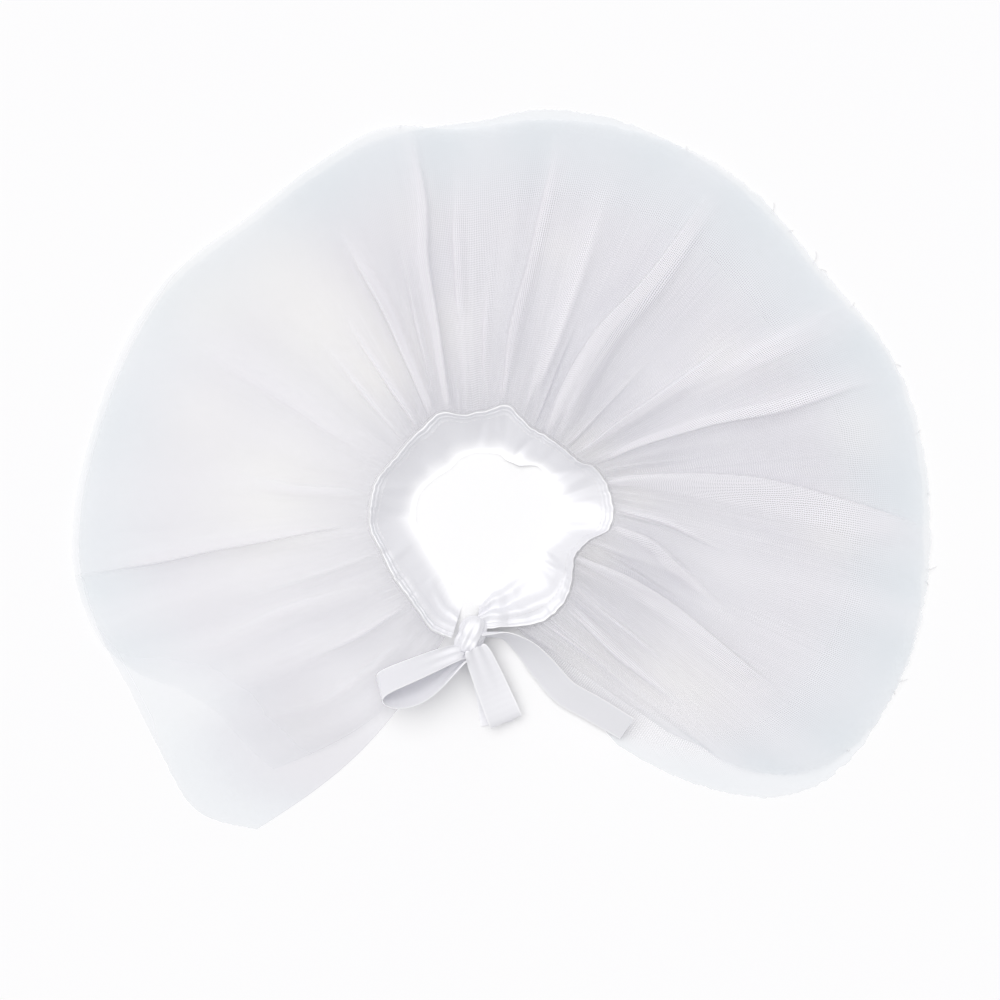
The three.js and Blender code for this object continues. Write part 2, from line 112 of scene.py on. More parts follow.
# Patches of painted light, where the net is painted whiter and warmer to lift its shade: place on the plan
# round the ring, radius and strength.
PAINTED_LIGHT_PATCHES = table(
    ("x", "y", "radius", "strength"),
    [
        (-118, 138, 28, 0.6), (-90, 108, 30, 0.9), (-62, 78, 20, 0.8), (-120, 14, 40, 0.95),
        (-160, 60, 20, 0.4), (-40, 170, 20, 0.25), (39, 150, 14, 0.35), (127, 89, 13, 0.5),
        (191, -2, 16, 0.6), (110, 2, 20, 0.1), (-158, 116, 26, 0.45), (118, -94, 28, 0.5),
        (205, 50, 18, 0.35), (-22, 105, 22, 0.4), (52, 38, 15, 0.6), (80, 16, 14, 0.55), (56, -18, 14, 0.6),
        (50, -78, 20, 0.55), (88, -92, 24, 0.4), (-102, -110, 24, 0.3),
    ],
)

# How each layer fans out: where a thread leaves the seam, and the plan angle and radius at which it reaches
# the hem.
FAN = table(
    ("seam", "top_turn", "top_reach", "under_turn", "under_reach"),
    [
        (-76, -50, 153, -60.5, 143), (-66, -47, 172, -56.5, 163), (-54, -45.5, 190, -51.6, 188),
        (-42, -41, 215, -44, 221), (-33, -35.5, 231, -37.6, 236), (-24, -29, 240, -29, 242),
        (-10, -17, 245, -17, 244), (12, -4, 244, -4, 241), (24, 18, 242, 18, 240), (40, 38, 230, 38, 227),
        (52, 55, 234, 55, 231), (70, 71, 229, 71, 233), (84, 82, 224, 82, 230), (100, 94, 217, 93, 221),
        (115, 106, 225, 106, 220), (124, 117, 219, 117, 214), (134, 128, 215, 128, 211),
        (148, 146, 224, 146, 220), (162, 163, 225, 163, 222), (180, 186, 232, 186, 229),
        (196, 197, 226, 197, 225), (208, 203, 214, 206, 221), (220, 209, 195, 214, 223),
        (234, 217, 184, 224, 229), (249, 229, 183, 233, 215),
    ],
)

# The large folds of the top layer. seam is where a fold begins, drift how far its crest wanders round by
# its far end, and start to end the part of the length it covers. near and far are its half-width at the
# seam and at the hem. skew is how much steeper its anticlockwise side is: that side leans out over the
# trough beside it. flat is the share of its width that lies level on top, and dip the depth of the trough.
FOLDS = table(
    ("seam", "drift", "start", "end", "height", "near", "far", "skew", "flat", "dip"),
    [
        (-62, 0, 0.05, 0.72, 3.0, 4.0, 9, 0.3, 0.0, 0.3),
        (-49, 2, 0.02, 0.66, 3.6, 3.0, 9, -0.3, 0.0, 0.3),
        (-39, 0, 0.00, 0.45, 3.0, 2.4, 6, 0.4, 0.0, 0.3),
        (-23, -4, 0.00, 0.74, 8.2, 6.0, 22, 0.66, 0.15, 1.0),
        (-15, -5, 0.00, 0.38, 2.6, 1.8, 5, 0.3, 0.0, 0.8),
        (-3, -15, 0.00, 0.52, 5.6, 3.2, 11, 0.35, 0.1, 1.1),
        (5, -4, 0.00, 0.40, 3.2, 2.4, 7, -0.4, 0.0, 0.9),
        (19, -5, 0.00, 1.04, 8.0, 5.0, 24, 0.70, 0.12, 1.2),
        (23, -1, 0.00, 0.34, 2.4, 1.6, 5, 0.2, 0.0, 0.4),
        (28, -3, 0.00, 0.97, 5.8, 2.8, 11, -0.60, 0.0, 1.0),
        (34, 0, 0.40, 1.08, 3.0, 3.0, 20, 0.1, 0.2, 0.2),
        (37, 1, 0.00, 0.72, 4.8, 2.8, 10, 0.50, 0.0, 1.0),
        (44, 1, 0.00, 0.42, 2.8, 1.8, 6, -0.3, 0.0, 0.5),
        (57, -4, 0.00, 0.92, 6.6, 9.0, 6, 0.60, 0.50, 1.3),
        (65, 0, 0.00, 0.36, 2.4, 1.8, 5, -0.3, 0.0, 0.5),
        (70, 0, 0.06, 0.85, 3.0, 4.0, 12, -0.2, 0.0, 0.3),
        (84, -3, 0.00, 0.96, 5.6, 3.0, 9, 0.45, 0.0, 1.0),
        (93, 0, 0.05, 0.55, 2.6, 2.5, 6, 0.3, 0.0, 0.4),
        (102, 0, 0.34, 0.86, 2.8, 2.5, 6, 0.40, 0.0, 0.5),
        (110, 0, 0.00, 1.02, 5.8, 2.6, 8, -0.40, 0.1, 0.9),
        (115.5, 0, 0.06, 0.62, 3.4, 1.8, 4, 0.30, 0.0, 0.7),
        (120, 4, 0.00, 0.78, 6.2, 3.2, 9, 0.45, 0.05, 1.0),
        (128, 2, 0.00, 0.55, 3.0, 2.6, 8, 0.3, 0.0, 0.4),
        (137, 0, 0.00, 0.50, 2.6, 3.0, 8, 0.2, 0.0, 0.3),
        (150, 0, 0.05, 0.92, 3.0, 9.0, 22, 0.2, 0.0, 0.2),
        (168, 0, 0.00, 0.60, 2.4, 5.0, 14, -0.2, 0.0, 0.2),
        (181, 0, 0.08, 1.12, 3.4, 4.0, 12, 0.6, 0.0, 0.4),
        (196, 0, 0.00, 0.55, 2.0, 4.0, 12, 0.2, 0.0, 0.2),
        (208, 0, 0.10, 0.92, 2.8, 9.0, 20, -0.2, 0.0, 0.2),
        (226, 0, 0.02, 0.60, 2.2, 4.0, 12, 0.3, 0.0, 0.2),
        (238, 0, 0.12, 0.88, 2.0, 6.0, 12, -0.2, 0.0, 0.2),
    ],
)

# How lively the small gathers are round the skirt: share of their full height, and how far they run out.
GATHERS = table(
    ("seam", "height", "reach"),
    [
        (-76, 0.60, 34), (-50, 0.85, 52), (-30, 1.00, 62), (0, 1.00, 66), (20, 1.00, 62), (40, 0.95, 58),
        (60, 0.90, 46), (90, 0.75, 38), (115, 0.75, 42), (135, 0.45, 30), (160, 0.32, 22), (190, 0.30, 22),
        (220, 0.36, 26), (249, 0.35, 24),
    ],
)

# The bow's right tail and the tail under its middle loop: middle line, bank from flat and width, from the
# knot out.
TAIL_RIGHT = table(
    ("x", "y", "z", "bank", "width"),
    [
        (-4.5, -63.5, 9.0, 78, 9), (6.0, -63.4, 9.4, 70, 13), (18.4, -70.2, 8.6, 52, 17.5),
        (29.4, -81.8, 8.4, 40, 19), (41.2, -94.8, 8.6, 38, 19), (57.0, -104.0, 9.0, 38, 19),
        (75.6, -115.0, 9.4, 42, 19),
    ],
)
TAIL_MIDDLE = table(
    ("x", "y", "z", "bank", "width"),
    [
        (-8.0, -70.5, 3.2, 0, 9), (-5.0, -78.0, 1.6, 0, 13), (-1.2, -88.0, 0.75, 0, 17),
        (2.2, -101.0, 0.65, 0, 18.5), (4.2, -113.0, 0.65, 0, 19),
    ],
)

# Loose threads at the raw hem: plan angle, how far they stick out, how long they are and how much they curl.
HEM_THREADS = table(
    ("angle", "lift", "length", "curl"),
    [
        (47.5, 0.6, 11, 0.9), (44.0, 0.5, 6, -0.7), (38.5, 0.8, 13, 1.2), (37.2, 0.5, 9, -1.4),
        (30.5, 0.4, 7, 0.8), (21.0, 0.5, 8, -0.9), (11.5, 0.5, 6, 1.0), (3.5, 0.4, 5, -0.6),
        (-6.5, 0.5, 12, 0.7), (-8.0, 0.6, 7, -1.1), (-21.5, 0.5, 11, 0.9), (-23.0, 0.4, 6, -0.8),
        (-33.0, 0.4, 6, 0.8), (62.0, 0.4, 6, 0.7), (103.0, 0.4, 5, -0.7),
    ],
)


# ---- Numbers -------------------------------------------------------------------------------------

def clamp01(x):
    return np.clip(x, 0.0, 1.0)


def ease(x):
    x = clamp01(x)
    return x * x * (3 - 2 * x)


def mix(a, b, t):
    return a + (b - a) * t


def curve(xs, ys):
    """A smooth curve through a table's columns that never overshoots them."""
    slope = np.diff(ys) / np.diff(xs)
    tangent = np.empty(len(xs))
    tangent[0], tangent[-1] = slope[0], slope[-1]
    a, b = slope[:-1], slope[1:]
    both = a * b > 0
    tangent[1:-1] = np.where(both, 2 * a * b / np.where(both, a + b, 1), 0)

    def at(x):
        x = np.asarray(x, dtype=float)
        k = np.clip(np.searchsorted(xs, x, side="right") - 1, 0, len(xs) - 2)
        h = xs[k + 1] - xs[k]
        s = clamp01((x - xs[k]) / h)
        return (
            (1 + 2 * s) * (1 - s) ** 2 * ys[k]
            + s * (1 - s) ** 2 * h * tangent[k]
            + s * s * (3 - 2 * s) * ys[k + 1]
            + s * s * (s - 1) * h * tangent[k + 1]
        )

    return at


def polar(angle, radius):
    turn = np.radians(angle)
    return np.stack([radius * np.cos(turn), radius * np.sin(turn)], axis=-1)


def unit(v):
    return v / np.maximum(np.linalg.norm(v, axis=-1, keepdims=True), 1e-9)


rim_radius = curve(BAND["angle"], BAND["rim"])
foot_radius = curve(BAND["angle"], BAND["foot"])
rim_height = curve(BAND["angle"], BAND["height"])


def soft_noise(x, seed, period):
    """A smooth uneven line between -1 and 1 that changes over about a period."""
    values = np.random.default_rng(seed).uniform(-1, 1, 4096)
    cell = np.asarray(x, dtype=float) / period + 1000
    k = np.floor(cell).astype(int)
    return mix(values[k % 4096], values[(k + 1) % 4096], ease(cell - k))


def ridged_cells(x, count, seed, low):
    """Uneven rounded ridges along x from 0 to 1: a height from 0 to 1, and a random share for each ridge."""
    rng = np.random.default_rng(seed)
    edges = np.cumsum(rng.uniform(0.55, 1.45, count + 1))
    edges = (edges - edges[0]) / (edges[-1] - edges[0])
    k = np.clip(np.searchsorted(edges, x, side="right") - 1, 0, count - 1)
    inside = (x - edges[k]) / (edges[k + 1] - edges[k])
    share = rng.uniform(low, 1, count)[k]
    return np.sin(np.pi * clamp01(inside)) ** 2, share


# ---- Meshes --------------------------------------------------------------------------------------

def link(mesh, name):
    piece = bpy.data.objects.new(name, mesh)
    bpy.context.scene.collection.objects.link(piece)
    return piece


def sheet_mesh(name, grid, uv, attributes=None):
    """A piece of cloth from a grid of points in mm round the ring, rows outwards and columns anticlockwise.

    Its faces point along outwards x anticlockwise, which is up where it lies flat. uv is in metres."""
    rows, cols = grid.shape[:2]
    points = grid.reshape(-1, 3).copy()
    points[:, 0] += RING[0]
    points[:, 1] += RING[1]
    first = (np.arange(rows - 1)[:, None] * cols + np.arange(cols - 1)[None, :]).ravel()
    quads = np.stack([first, first + cols, first + cols + 1, first + 1], axis=1)
    mesh = bpy.data.meshes.new(name)
    mesh.vertices.add(len(points))
    mesh.vertices.foreach_set("co", (points * MM).ravel())
    mesh.loops.add(quads.size)
    mesh.loops.foreach_set("vertex_index", quads.ravel().astype(np.int32))
    mesh.polygons.add(len(quads))
    mesh.polygons.foreach_set("loop_start", np.arange(0, quads.size, 4, dtype=np.int32))
    mesh.update(calc_edges=True)
    mesh.uv_layers.new(name="cloth").data.foreach_set("uv", uv.reshape(-1, 2)[quads.ravel()].ravel())
    for key, values in (attributes or {}).items():
        layer = mesh.attributes.new(key, "FLOAT", "POINT")
        layer.data.foreach_set("value", np.ascontiguousarray(values, dtype=np.float32).ravel())
    mesh.shade_smooth()
    mesh.validate()
    return link(mesh, name)


def grid_normals(grid):
    along = np.gradient(grid, axis=1)
    out = np.gradient(grid, axis=0)
    return unit(np.cross(out, along))


def tube_mesh(name, lines, radius, sides=4):
    """Thin closed threads along lines of points in mm round the ring, joined in one mesh."""
    points, faces = [], []
    for line in lines:
        base = len(points)
        steps = len(line)
        tangent = unit(np.gradient(line, axis=0))
        side = unit(np.cross(tangent, [0.0, 0.0, 1.0]))
        rise = np.cross(side, tangent)
        for i in range(steps):
            for k in range(sides):
                turn = 2 * math.pi * k / sides
                points.append(line[i] + radius * (side[i] * math.cos(turn) + rise[i] * math.sin(turn)))
        for i in range(steps - 1):
            for k in range(sides):
                a, b = base + i * sides + k, base + i * sides + (k + 1) % sides
                faces.append((a, b, b + sides, a + sides))
        faces.append(tuple(base + k for k in reversed(range(sides))))
        faces.append(tuple(base + (steps - 1) * sides + k for k in range(sides)))
    points = np.array(points) + [RING[0], RING[1], 0.0]
    mesh = bpy.data.meshes.new(name)
    mesh.from_pydata((points * MM).tolist(), [], faces)
    mesh.shade_smooth()
    return link(mesh, name)


def add_modifier(piece, kind, name, **settings):
    modifier = piece.modifiers.new(name, kind)
    for key, value in settings.items():
        setattr(modifier, key, value)
    return modifier


def bake_modifiers(piece):
    """Turns a piece with its modifiers into a plain mesh."""
    bpy.context.view_layer.update()
    evaluated = piece.evaluated_get(bpy.context.evaluated_depsgraph_get())
    mesh = bpy.data.meshes.new_from_object(evaluated)
    piece.modifiers.clear()
    piece.data = mesh


def close_seams(piece):
    """Joins a piece's doubled edge and poles, and turns its faces outwards."""
    shell = bmesh.new()
    shell.from_mesh(piece.data)
    bmesh.ops.remove_doubles(shell, verts=shell.verts, dist=1e-5)
    bmesh.ops.recalc_face_normals(shell, faces=shell.faces)
    shell.to_mesh(piece.data)
    shell.free()
    piece.data.shade_smooth()


# ---- Materials -----------------------------------------------------------------------------------

def linear(hex_colour):
    """An sRGB hex colour as linear RGBA."""
    values = [int(hex_colour[i:i + 2], 16) / 255 for i in (1, 3, 5)]
    return [v / 12.92 if v <= 0.04045 else ((v + 0.055) / 1.055) ** 2.4 for v in values] + [1.0]


def add_node(tree, kind, inputs=None, **settings):
    """A node with its settings and its inputs, each a value or a socket to link from."""
    node = tree.nodes.new(kind)
    for key, value in settings.items():
        setattr(node, key, value)
    for key, value in (inputs or {}).items():
        if isinstance(value, bpy.types.NodeSocket):
            tree.links.new(value, node.inputs[key])
        else:
            node.inputs[key].default_value = value
    return node


def new_material(name):
    material = bpy.data.materials.new(name)
    material.use_nodes = True
    material.node_tree.nodes.clear()
    return material, material.node_tree


def tulle_material(settings):
    """Nylon bobbinet tulle, heat set: a soft matt net that the table shows through, its threads closer where
    it lies doubled. Its colour is painted light: whiter on crests and in patches, greyer in troughs."""
    material, tree = new_material("nylon_tulle_net")
    uv = add_node(tree, "ShaderNodeUVMap", uv_map="cloth").outputs["UV"]
    split = add_node(tree, "ShaderNodeSeparateXYZ", {0: uv})
    thread = add_node(tree, "ShaderNodeAttribute", attribute_name="thread").outputs["Fac"]
    # Real tulle has holes of about 1.2 mm. The net is drawn a little coarser, so that its holes still show
    # from above.
    across = add_node(tree, "ShaderNodeMath", {0: split.outputs["X"], 1: settings.net_pitch},
                      operation="DIVIDE")
    along = add_node(tree, "ShaderNodeMath", {0: split.outputs["Y"], 1: settings.net_pitch},
                     operation="DIVIDE")
    sway = add_node(tree, "ShaderNodeMath", {0: along.outputs[0], 1: 1.0}, operation="PINGPONG")
    swayed = add_node(tree, "ShaderNodeMath", {0: sway.outputs[0], 1: 0.3, 2: across.outputs[0]},
                      operation="MULTIPLY_ADD")
    half_thread = add_node(tree, "ShaderNodeMath", {0: thread, 1: 0.5}, operation="MULTIPLY")
    masks = []
    for line, weight in ((swayed, 1.0), (along, CROSS_WEIGHT)):
        from_line = add_node(tree, "ShaderNodeMath", {0: line.outputs[0], 1: 0.5}, operation="PINGPONG")
        edge = add_node(tree, "ShaderNodeMath", {0: half_thread.outputs[0], 1: from_line.outputs[0]},
                        operation="SUBTRACT")
        soft = add_node(tree, "ShaderNodeMapRange", {
            "Value": edge.outputs[0], "From Min": -NET_SOFTNESS, "From Max": NET_SOFTNESS, "To Max": weight})
        masks.append(soft.outputs["Result"])
    net = add_node(tree, "ShaderNodeMath", {0: masks[0], 1: masks[1]}, operation="MAXIMUM")
    # Where the net lies spread and level, its holes run together into an even veil of the same cover.
    veil = add_node(tree, "ShaderNodeAttribute", attribute_name="veil").outputs["Fac"]
    hole = add_node(tree, "ShaderNodeMath", {0: 1.0, 1: thread}, operation="SUBTRACT")
    crossed = add_node(tree, "ShaderNodeMath", {0: thread, 1: -CROSS_WEIGHT, 2: 1.0},
                       operation="MULTIPLY_ADD")
    bare = add_node(tree, "ShaderNodeMath", {0: hole.outputs[0], 1: crossed.outputs[0]}, operation="MULTIPLY")
    cover = add_node(tree, "ShaderNodeMath", {0: 1.0, 1: bare.outputs[0]}, operation="SUBTRACT")
    mask = add_node(tree, "ShaderNodeMix", {0: veil, 2: net.outputs[0], 3: cover.outputs[0]},
                    data_type="FLOAT")
    # The finish takes up dye and light a little unevenly over a hand's width.
    place = add_node(tree, "ShaderNodeTexCoord").outputs["Object"]
    cloud = add_node(tree, "ShaderNodeTexNoise", {"Vector": place, "Scale": 14.0, "Detail": 2.0})
    # Painted light: the net is painted whiter on crests, where it lies doubled, as a painted highlight, and
    # greyer in the troughs between them as painted shade.
    crest = add_node(tree, "ShaderNodeAttribute", attribute_name="crest").outputs["Fac"]
    painted_light = add_node(tree, "ShaderNodeAttribute", attribute_name="painted_light").outputs["Fac"]
    hem = add_node(tree, "ShaderNodeAttribute", attribute_name="hem").outputs["Fac"]
    shaded_trough_tone = add_node(tree, "ShaderNodeMix", {6: linear("#e7e6ec"), 7: linear("#e9e9ed"),
                                                   0: cloud.outputs["Fac"]}, data_type="RGBA")
    cool_tone = add_node(tree, "ShaderNodeMix", {0: hem, 6: shaded_trough_tone.outputs[2], 7: linear("#e6eff3")},
                         data_type="RGBA")
    # Patches of painted light: whiter and warmer where the shade is lifted.
    painted_light_tone = add_node(tree, "ShaderNodeMix", {0: painted_light, 6: cool_tone.outputs[2], 7: linear("#fbfaf6")},
                         data_type="RGBA")
    tint_with_painted_light = add_node(tree, "ShaderNodeMix", {0: crest, 6: painted_light_tone.outputs[2], 7: linear("#fdfcff")},
                    data_type="RGBA")
    lit = add_node(tree, "ShaderNodeBsdfPrincipled", {
        "Base Color": tint_with_painted_light.outputs[2], "Roughness": 0.62, "Specular IOR Level": 0.35, "Sheen Weight": 0.15,
        "Sheen Roughness": 0.5})
    glow = add_node(tree, "ShaderNodeBsdfTranslucent", {"Color": tint_with_painted_light.outputs[2]})
    threads_lit = add_node(tree, "ShaderNodeMixShader", {0: 0.42, 1: lit.outputs[0], 2: glow.outputs[0]})
    holes = add_node(tree, "ShaderNodeBsdfTransparent")
    shader = add_node(tree, "ShaderNodeMixShader", {0: mask.outputs[0], 1: holes.outputs[0],
                                                    2: threads_lit.outputs[0]})
    add_node(tree, "ShaderNodeOutputMaterial", {"Surface": shader.outputs[0]})
    return material


WAVE_PERIOD = 2 * math.pi / 20  # of the wave texture at scale 1
RIB_PITCH = 0.003766  # metres


def satin_material():
    """Polyester satin ribbon: its long floats mirror the light in part, so it is bright where it lies flat
    and grey where it slopes away, with fine ribs across it and firm selvedges."""
    material, tree = new_material("polyester_satin_ribbon")
    uv = add_node(tree, "ShaderNodeUVMap", uv_map="cloth").outputs["UV"]
    # Ribs of weft run across the ribbon. They are drawn RIB_PITCH apart, far coarser than the real 0.2 mm,
    # so that they show as a faint unevenness.
    ribs = add_node(tree, "ShaderNodeTexWave", {
        "Vector": uv, "Scale": WAVE_PERIOD / RIB_PITCH, "Distortion": 0.6, "Detail": 1.0},
        wave_type="BANDS", bands_direction="X")
    grain = add_node(tree, "ShaderNodeTexNoise", {"Vector": uv, "Scale": 900.0, "Detail": 3.0})
    relief = add_node(tree, "ShaderNodeMix", {0: 0.35, 2: ribs.outputs["Fac"], 3: grain.outputs["Fac"]},
                      data_type="FLOAT")
    bump = add_node(tree, "ShaderNodeBump", {
        "Strength": 0.12, "Distance": 0.0003, "Height": relief.outputs[0]})
    # Whiter along the selvedges and, as painted light, over the waistband's foot, which then fades into the
    # table without its shade.
    selvedge_and_painted_light = add_node(tree, "ShaderNodeAttribute", attribute_name="selvedge_and_painted_light").outputs["Fac"]
    colour = add_node(tree, "ShaderNodeMix", {0: selvedge_and_painted_light, 6: linear("#f0f0f4"), 7: linear("#fcfcfe")},
                      data_type="RGBA")
    lustre = add_node(tree, "ShaderNodeMapRange", {
        "Value": grain.outputs["Fac"], "To Min": 0.44, "To Max": 0.56})
    shader = add_node(tree, "ShaderNodeBsdfPrincipled", {
        "Base Color": colour.outputs[2], "Roughness": lustre.outputs["Result"], "Normal": bump.outputs[0],
        "Metallic": 0.2, "Specular IOR Level": 0.5, "Sheen Weight": 0.1, "Sheen Roughness": 0.35})
    add_node(tree, "ShaderNodeOutputMaterial", {"Surface": shader.outputs[0]})
    return material


def thread_material():
    """Spun polyester sewing thread, twisted from plies: matt and a little furry."""
    material, tree = new_material("polyester_sewing_thread")
    twist = add_node(tree, "ShaderNodeTexNoise", {
        "Vector": add_node(tree, "ShaderNodeTexCoord").outputs["Object"], "Scale": 2500.0, "Detail": 2.0})
    bump = add_node(tree, "ShaderNodeBump", {
        "Strength": 0.3, "Distance": 0.0002, "Height": twist.outputs["Fac"]})
    shader = add_node(tree, "ShaderNodeBsdfPrincipled", {
        "Base Color": linear("#f1f0f2"), "Roughness": 0.7, "Normal": bump.outputs[0], "Sheen Weight": 0.2})
    add_node(tree, "ShaderNodeOutputMaterial", {"Surface": shader.outputs[0]})
    return material


def table_material():
    """Smooth white laminate: pale and matt, with hardly any grain."""
    material, tree = new_material("white_laminate_table")
    speck = add_node(tree, "ShaderNodeTexNoise", {
        "Vector": add_node(tree, "ShaderNodeTexCoord").outputs["Object"], "Scale": 6.0, "Detail": 2.0})
    tone = add_node(tree, "ShaderNodeMix", {
        0: speck.outputs["Fac"], 6: linear("#fafafb"), 7: linear("#fbfbfb")}, data_type="RGBA")
    shader = add_node(tree, "ShaderNodeBsdfPrincipled", {
        "Base Color": tone.outputs[2], "Roughness": 0.9, "Specular IOR Level": 0.1})
    add_node(tree, "ShaderNodeOutputMaterial", {"Surface": shader.outputs[0]})
    return material


def ready_material(name, make, *settings):
    """The material of that name, made once."""
    return bpy.data.materials.get(name) or make(*settings)


def dress_piece(piece, material, slot, *nodes):
    """Gives a piece its material and its place in the frame."""
    piece.data.materials.clear()
    piece.data.materials.append(material)
    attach(piece, "root")
    if nodes:
        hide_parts(*nodes)


# ---- Tulle ---------------------------------------------------------------------------------------

SEAM_START = FAN["seam"][0]
SEAM_END = FAN["seam"][-1]
SEAM_OFFSET = 1.1  # the tulle leaves the casing this far outside the waistband's edge
FRONT_BOW = 11  # the left front edge bends forward by this in its middle
FRONT_BOW_FROM = 212  # seam angle where that bend starts
FALL = 62  # the cloth comes down from the waistband to the table over this length
SEAM_DROP = 4.5  # the tulle enters the casing this far below the waistband's raised edge
FRONT_FALL = 0.07  # share of the seam, beside each front edge, over which the cloth gets lower
FRONT_HEIGHT = 0.3  # share of its height that the cloth keeps at the front edges
UNDER_REST = 0.55  # height of the under layer where it lies flat
HEM_THINS = 0.24  # the loose hem covers this much less at its very edge
CROSS_WEIGHT = 0.7  # the threads round the skirt show this much as strongly as those that run outwards
NET_SOFTNESS = 0.11  # of the edge of a net thread, as a share of its pitch
SPREAD_COVER = 0.74  # at the left the spread cloth's threads cover this share of what they do elsewhere
LAYER_GAP = 1.9  # from the under layer up to the top one where both lie flat
FOLD_RUN = 165  # a fold's usual length, for the periods of its unevenness
FOLD_WANDER = 2.2  # how far a crest strays to either side
FOLD_UNEVEN = 0.18  # how much a crest's height varies, as a share
LEAN = 0.62  # how far a fold leans over, as a share of its half-width at full skew
LEAST_UPRIGHT = 0.28  # cloth that stands more steeply than this gains no more cover
CREST_REACH = 30  # columns on each side that a crest is measured against
CREST_SPAN = 3.4  # height over its surroundings that takes the cloth from trough to crest
GATHER_SIZES = (  # number of gathers round the seam, seed, height, and reach as a share of the longest
    (58, 11, 2.9, 1.0), (97, 23, 1.2, 0.62), (190, 37, 0.75, 0.34),
)
TOP_FALL = 0.93  # the top layer comes down more slowly than the under one, by this factor
SEAM_GAP = 1.4  # added between the layers at the seam, where the gathers hold them apart
SEAM_GAP_RUN = 60
TURNED_UNDER = 1.7  # layers of cloth that are turned under along the left front edge
LEFT_CORNER_THINS = 0.6  # the top layer covers this much less at the left front corner
RAW_EDGE = 0.97  # the rows past this share of the length are frayed
UNDER_COLUMNS, UNDER_ROWS = 900, 44
TOP_COLUMNS, TOP_ROWS = 1300, 70
THREAD_RADIUS = 0.16  # of the loose threads at the hem
THREAD_ROOT = 2  # they come out of the net this far inside its edge
THREAD_SHOWS = 0.6  # share of a loose thread's length that is drawn: the rest is hidden in the net
THREAD_HEIGHT = 2.4  # where it leaves the hem
THREAD_DROP = 1.7  # by how much its end lies lower
gather_height = curve(GATHERS["seam"], GATHERS["height"])
gather_reach = curve(GATHERS["seam"], GATHERS["reach"])


def round_share(seams):
    """How far round the seam each angle lies, from 0 at the right front edge to 1 at the left one."""
    return (seams - SEAM_START) / (SEAM_END - SEAM_START)


def threads(turn, reach, seams, shares, settings, fray_seed):
    """Plan of a layer: the place of each point, its distance from the seam and the direction sideways."""
    start = polar(seams, rim_radius(seams) + SEAM_OFFSET)
    hem = polar(curve(FAN["seam"], FAN[turn])(seams), curve(FAN["seam"], FAN[reach])(seams))
    outward = unit(hem - start)
    sideways = np.stack([-outward[:, 1], outward[:, 0]], axis=-1)
    bent = FRONT_BOW * ease((seams - FRONT_BOW_FROM) / (SEAM_END - FRONT_BOW_FROM))
    share = shares[:, None, None]
    place = start + (hem - start) * share + sideways * bent[:, None] * np.sin(np.pi * share)
    place = place + outward * frayed(seams, settings, fray_seed, (shares > RAW_EDGE)[:, None])[..., None]
    length = np.linalg.norm(hem - start, axis=-1)
    return place, shares[:, None] * length, length, sideways


def layer_floor(seams, distance):
    """Height at which the cloth hangs between the waistband and the table."""
    turn = round_share(seams)
    front = ease(turn / FRONT_FALL) * ease((1 - turn) / FRONT_FALL)
    hung = np.maximum(rim_height(seams) - SEAM_DROP, 0) * mix(FRONT_HEIGHT, 1, front)
    return hung * (1 - ease(distance / FALL))


def fold_relief(seams, shares, place):
    """Lift and sideways lean from the large folds."""
    lift = np.zeros(place.shape[:2])
    lean = np.zeros(place.shape[:2])
    rows = np.arange(len(shares))
    for row in zip(*FOLDS.values()):
        seam, drift, start, end, height, near, far, skew, flat, dip = row
        crest_seams = seam + drift * ease(shares / end)
        column = np.clip((crest_seams - seams[0]) / (seams[1] - seams[0]), 0, len(seams) - 1.001)
        before = column.astype(int)
        crest = mix(place[rows, before], place[rows, before + 1], (column - before)[:, None])[:, None]
        wander = FOLD_WANDER * soft_noise(shares * FOLD_RUN + 97 * seam, 5, 42) * ease(shares / 0.2)
        side = np.sign(seams[None, :] - crest_seams[:, None])
        across = np.linalg.norm(place - crest, axis=-1) * side - wander[:, None]
        along = (shares - start) / (end - start)
        swell = np.where((along > 0) & (along < 1), np.sin(np.pi * clamp01(along) ** 0.62), 0)[:, None]
        uneven = 1 + FOLD_UNEVEN * soft_noise(shares * FOLD_RUN + 31 * seam, 9, 30)[:, None]
        width = mix(near, far, shares)[:, None]
        side_width = np.where(across > 0, width * (1 - skew), width * (1 + skew))
        x = np.abs(across) / side_width
        x = clamp01((x - flat) / (1 - flat))
        ridge = (1 - clamp01(np.sqrt(x * x + 0.02) - math.sqrt(0.02))) ** 1.7
        steep = width * (1 - abs(skew))
        trough_at = math.copysign(1, skew) * (steep + 0.7 * width)
        trough = np.cos(0.5 * np.pi * np.clip((across - trough_at) / (1.1 * width), -1, 1)) ** 2
        lift += swell * uneven * (height * ridge - dip * trough)
        lean += LEAN * skew * width * swell * ridge ** 1.3
    return lift, lean


def small_gathers(seams, distance):
    """The close gathers that come out of the casing and die away, with a finer crumple right beside it."""
    turn = round_share(seams)
    lively = gather_height(seams)
    run = gather_reach(seams)
    total = np.zeros(distance.shape)
    for count, seed, height, reach in GATHER_SIZES:
        ridge, share = ridged_cells(turn, count, seed, 0.35)
        out = distance / (run * reach * (0.55 + 0.9 * share))
        risen = mix(0.5, 1, ease(distance / 10))
        total += height * lively * share * ridge * risen * (1 - ease(out))
    return total


def flowing_waves(seams, distance, length):
    """Wider waves that the gathers run into, and a slow ripple along the hem."""
    turn = round_share(seams)
    lively = mix(0.45, 1, gather_height(seams))
    wide, share = ridged_cells(turn, 23, 51, 0.3)
    middle = ease(distance / 26) * (1 - ease((distance - 50) / (60 + 60 * share)))
    fine, fine_share = ridged_cells(turn, 61, 67, 0.1)
    drawn = ease(distance / 20) * (1 - ease((distance - 35) / (50 + 75 * fine_share)))
    ripple, ripple_share = ridged_cells(turn, 17, 83, 0.2)
    return (
        2.3 * lively * share * wide * middle
        + 0.8 * lively * fine_share * fine * drawn
        + 1.8 * ripple_share * ripple * ease((distance / length - 0.35) / 0.65)
    )


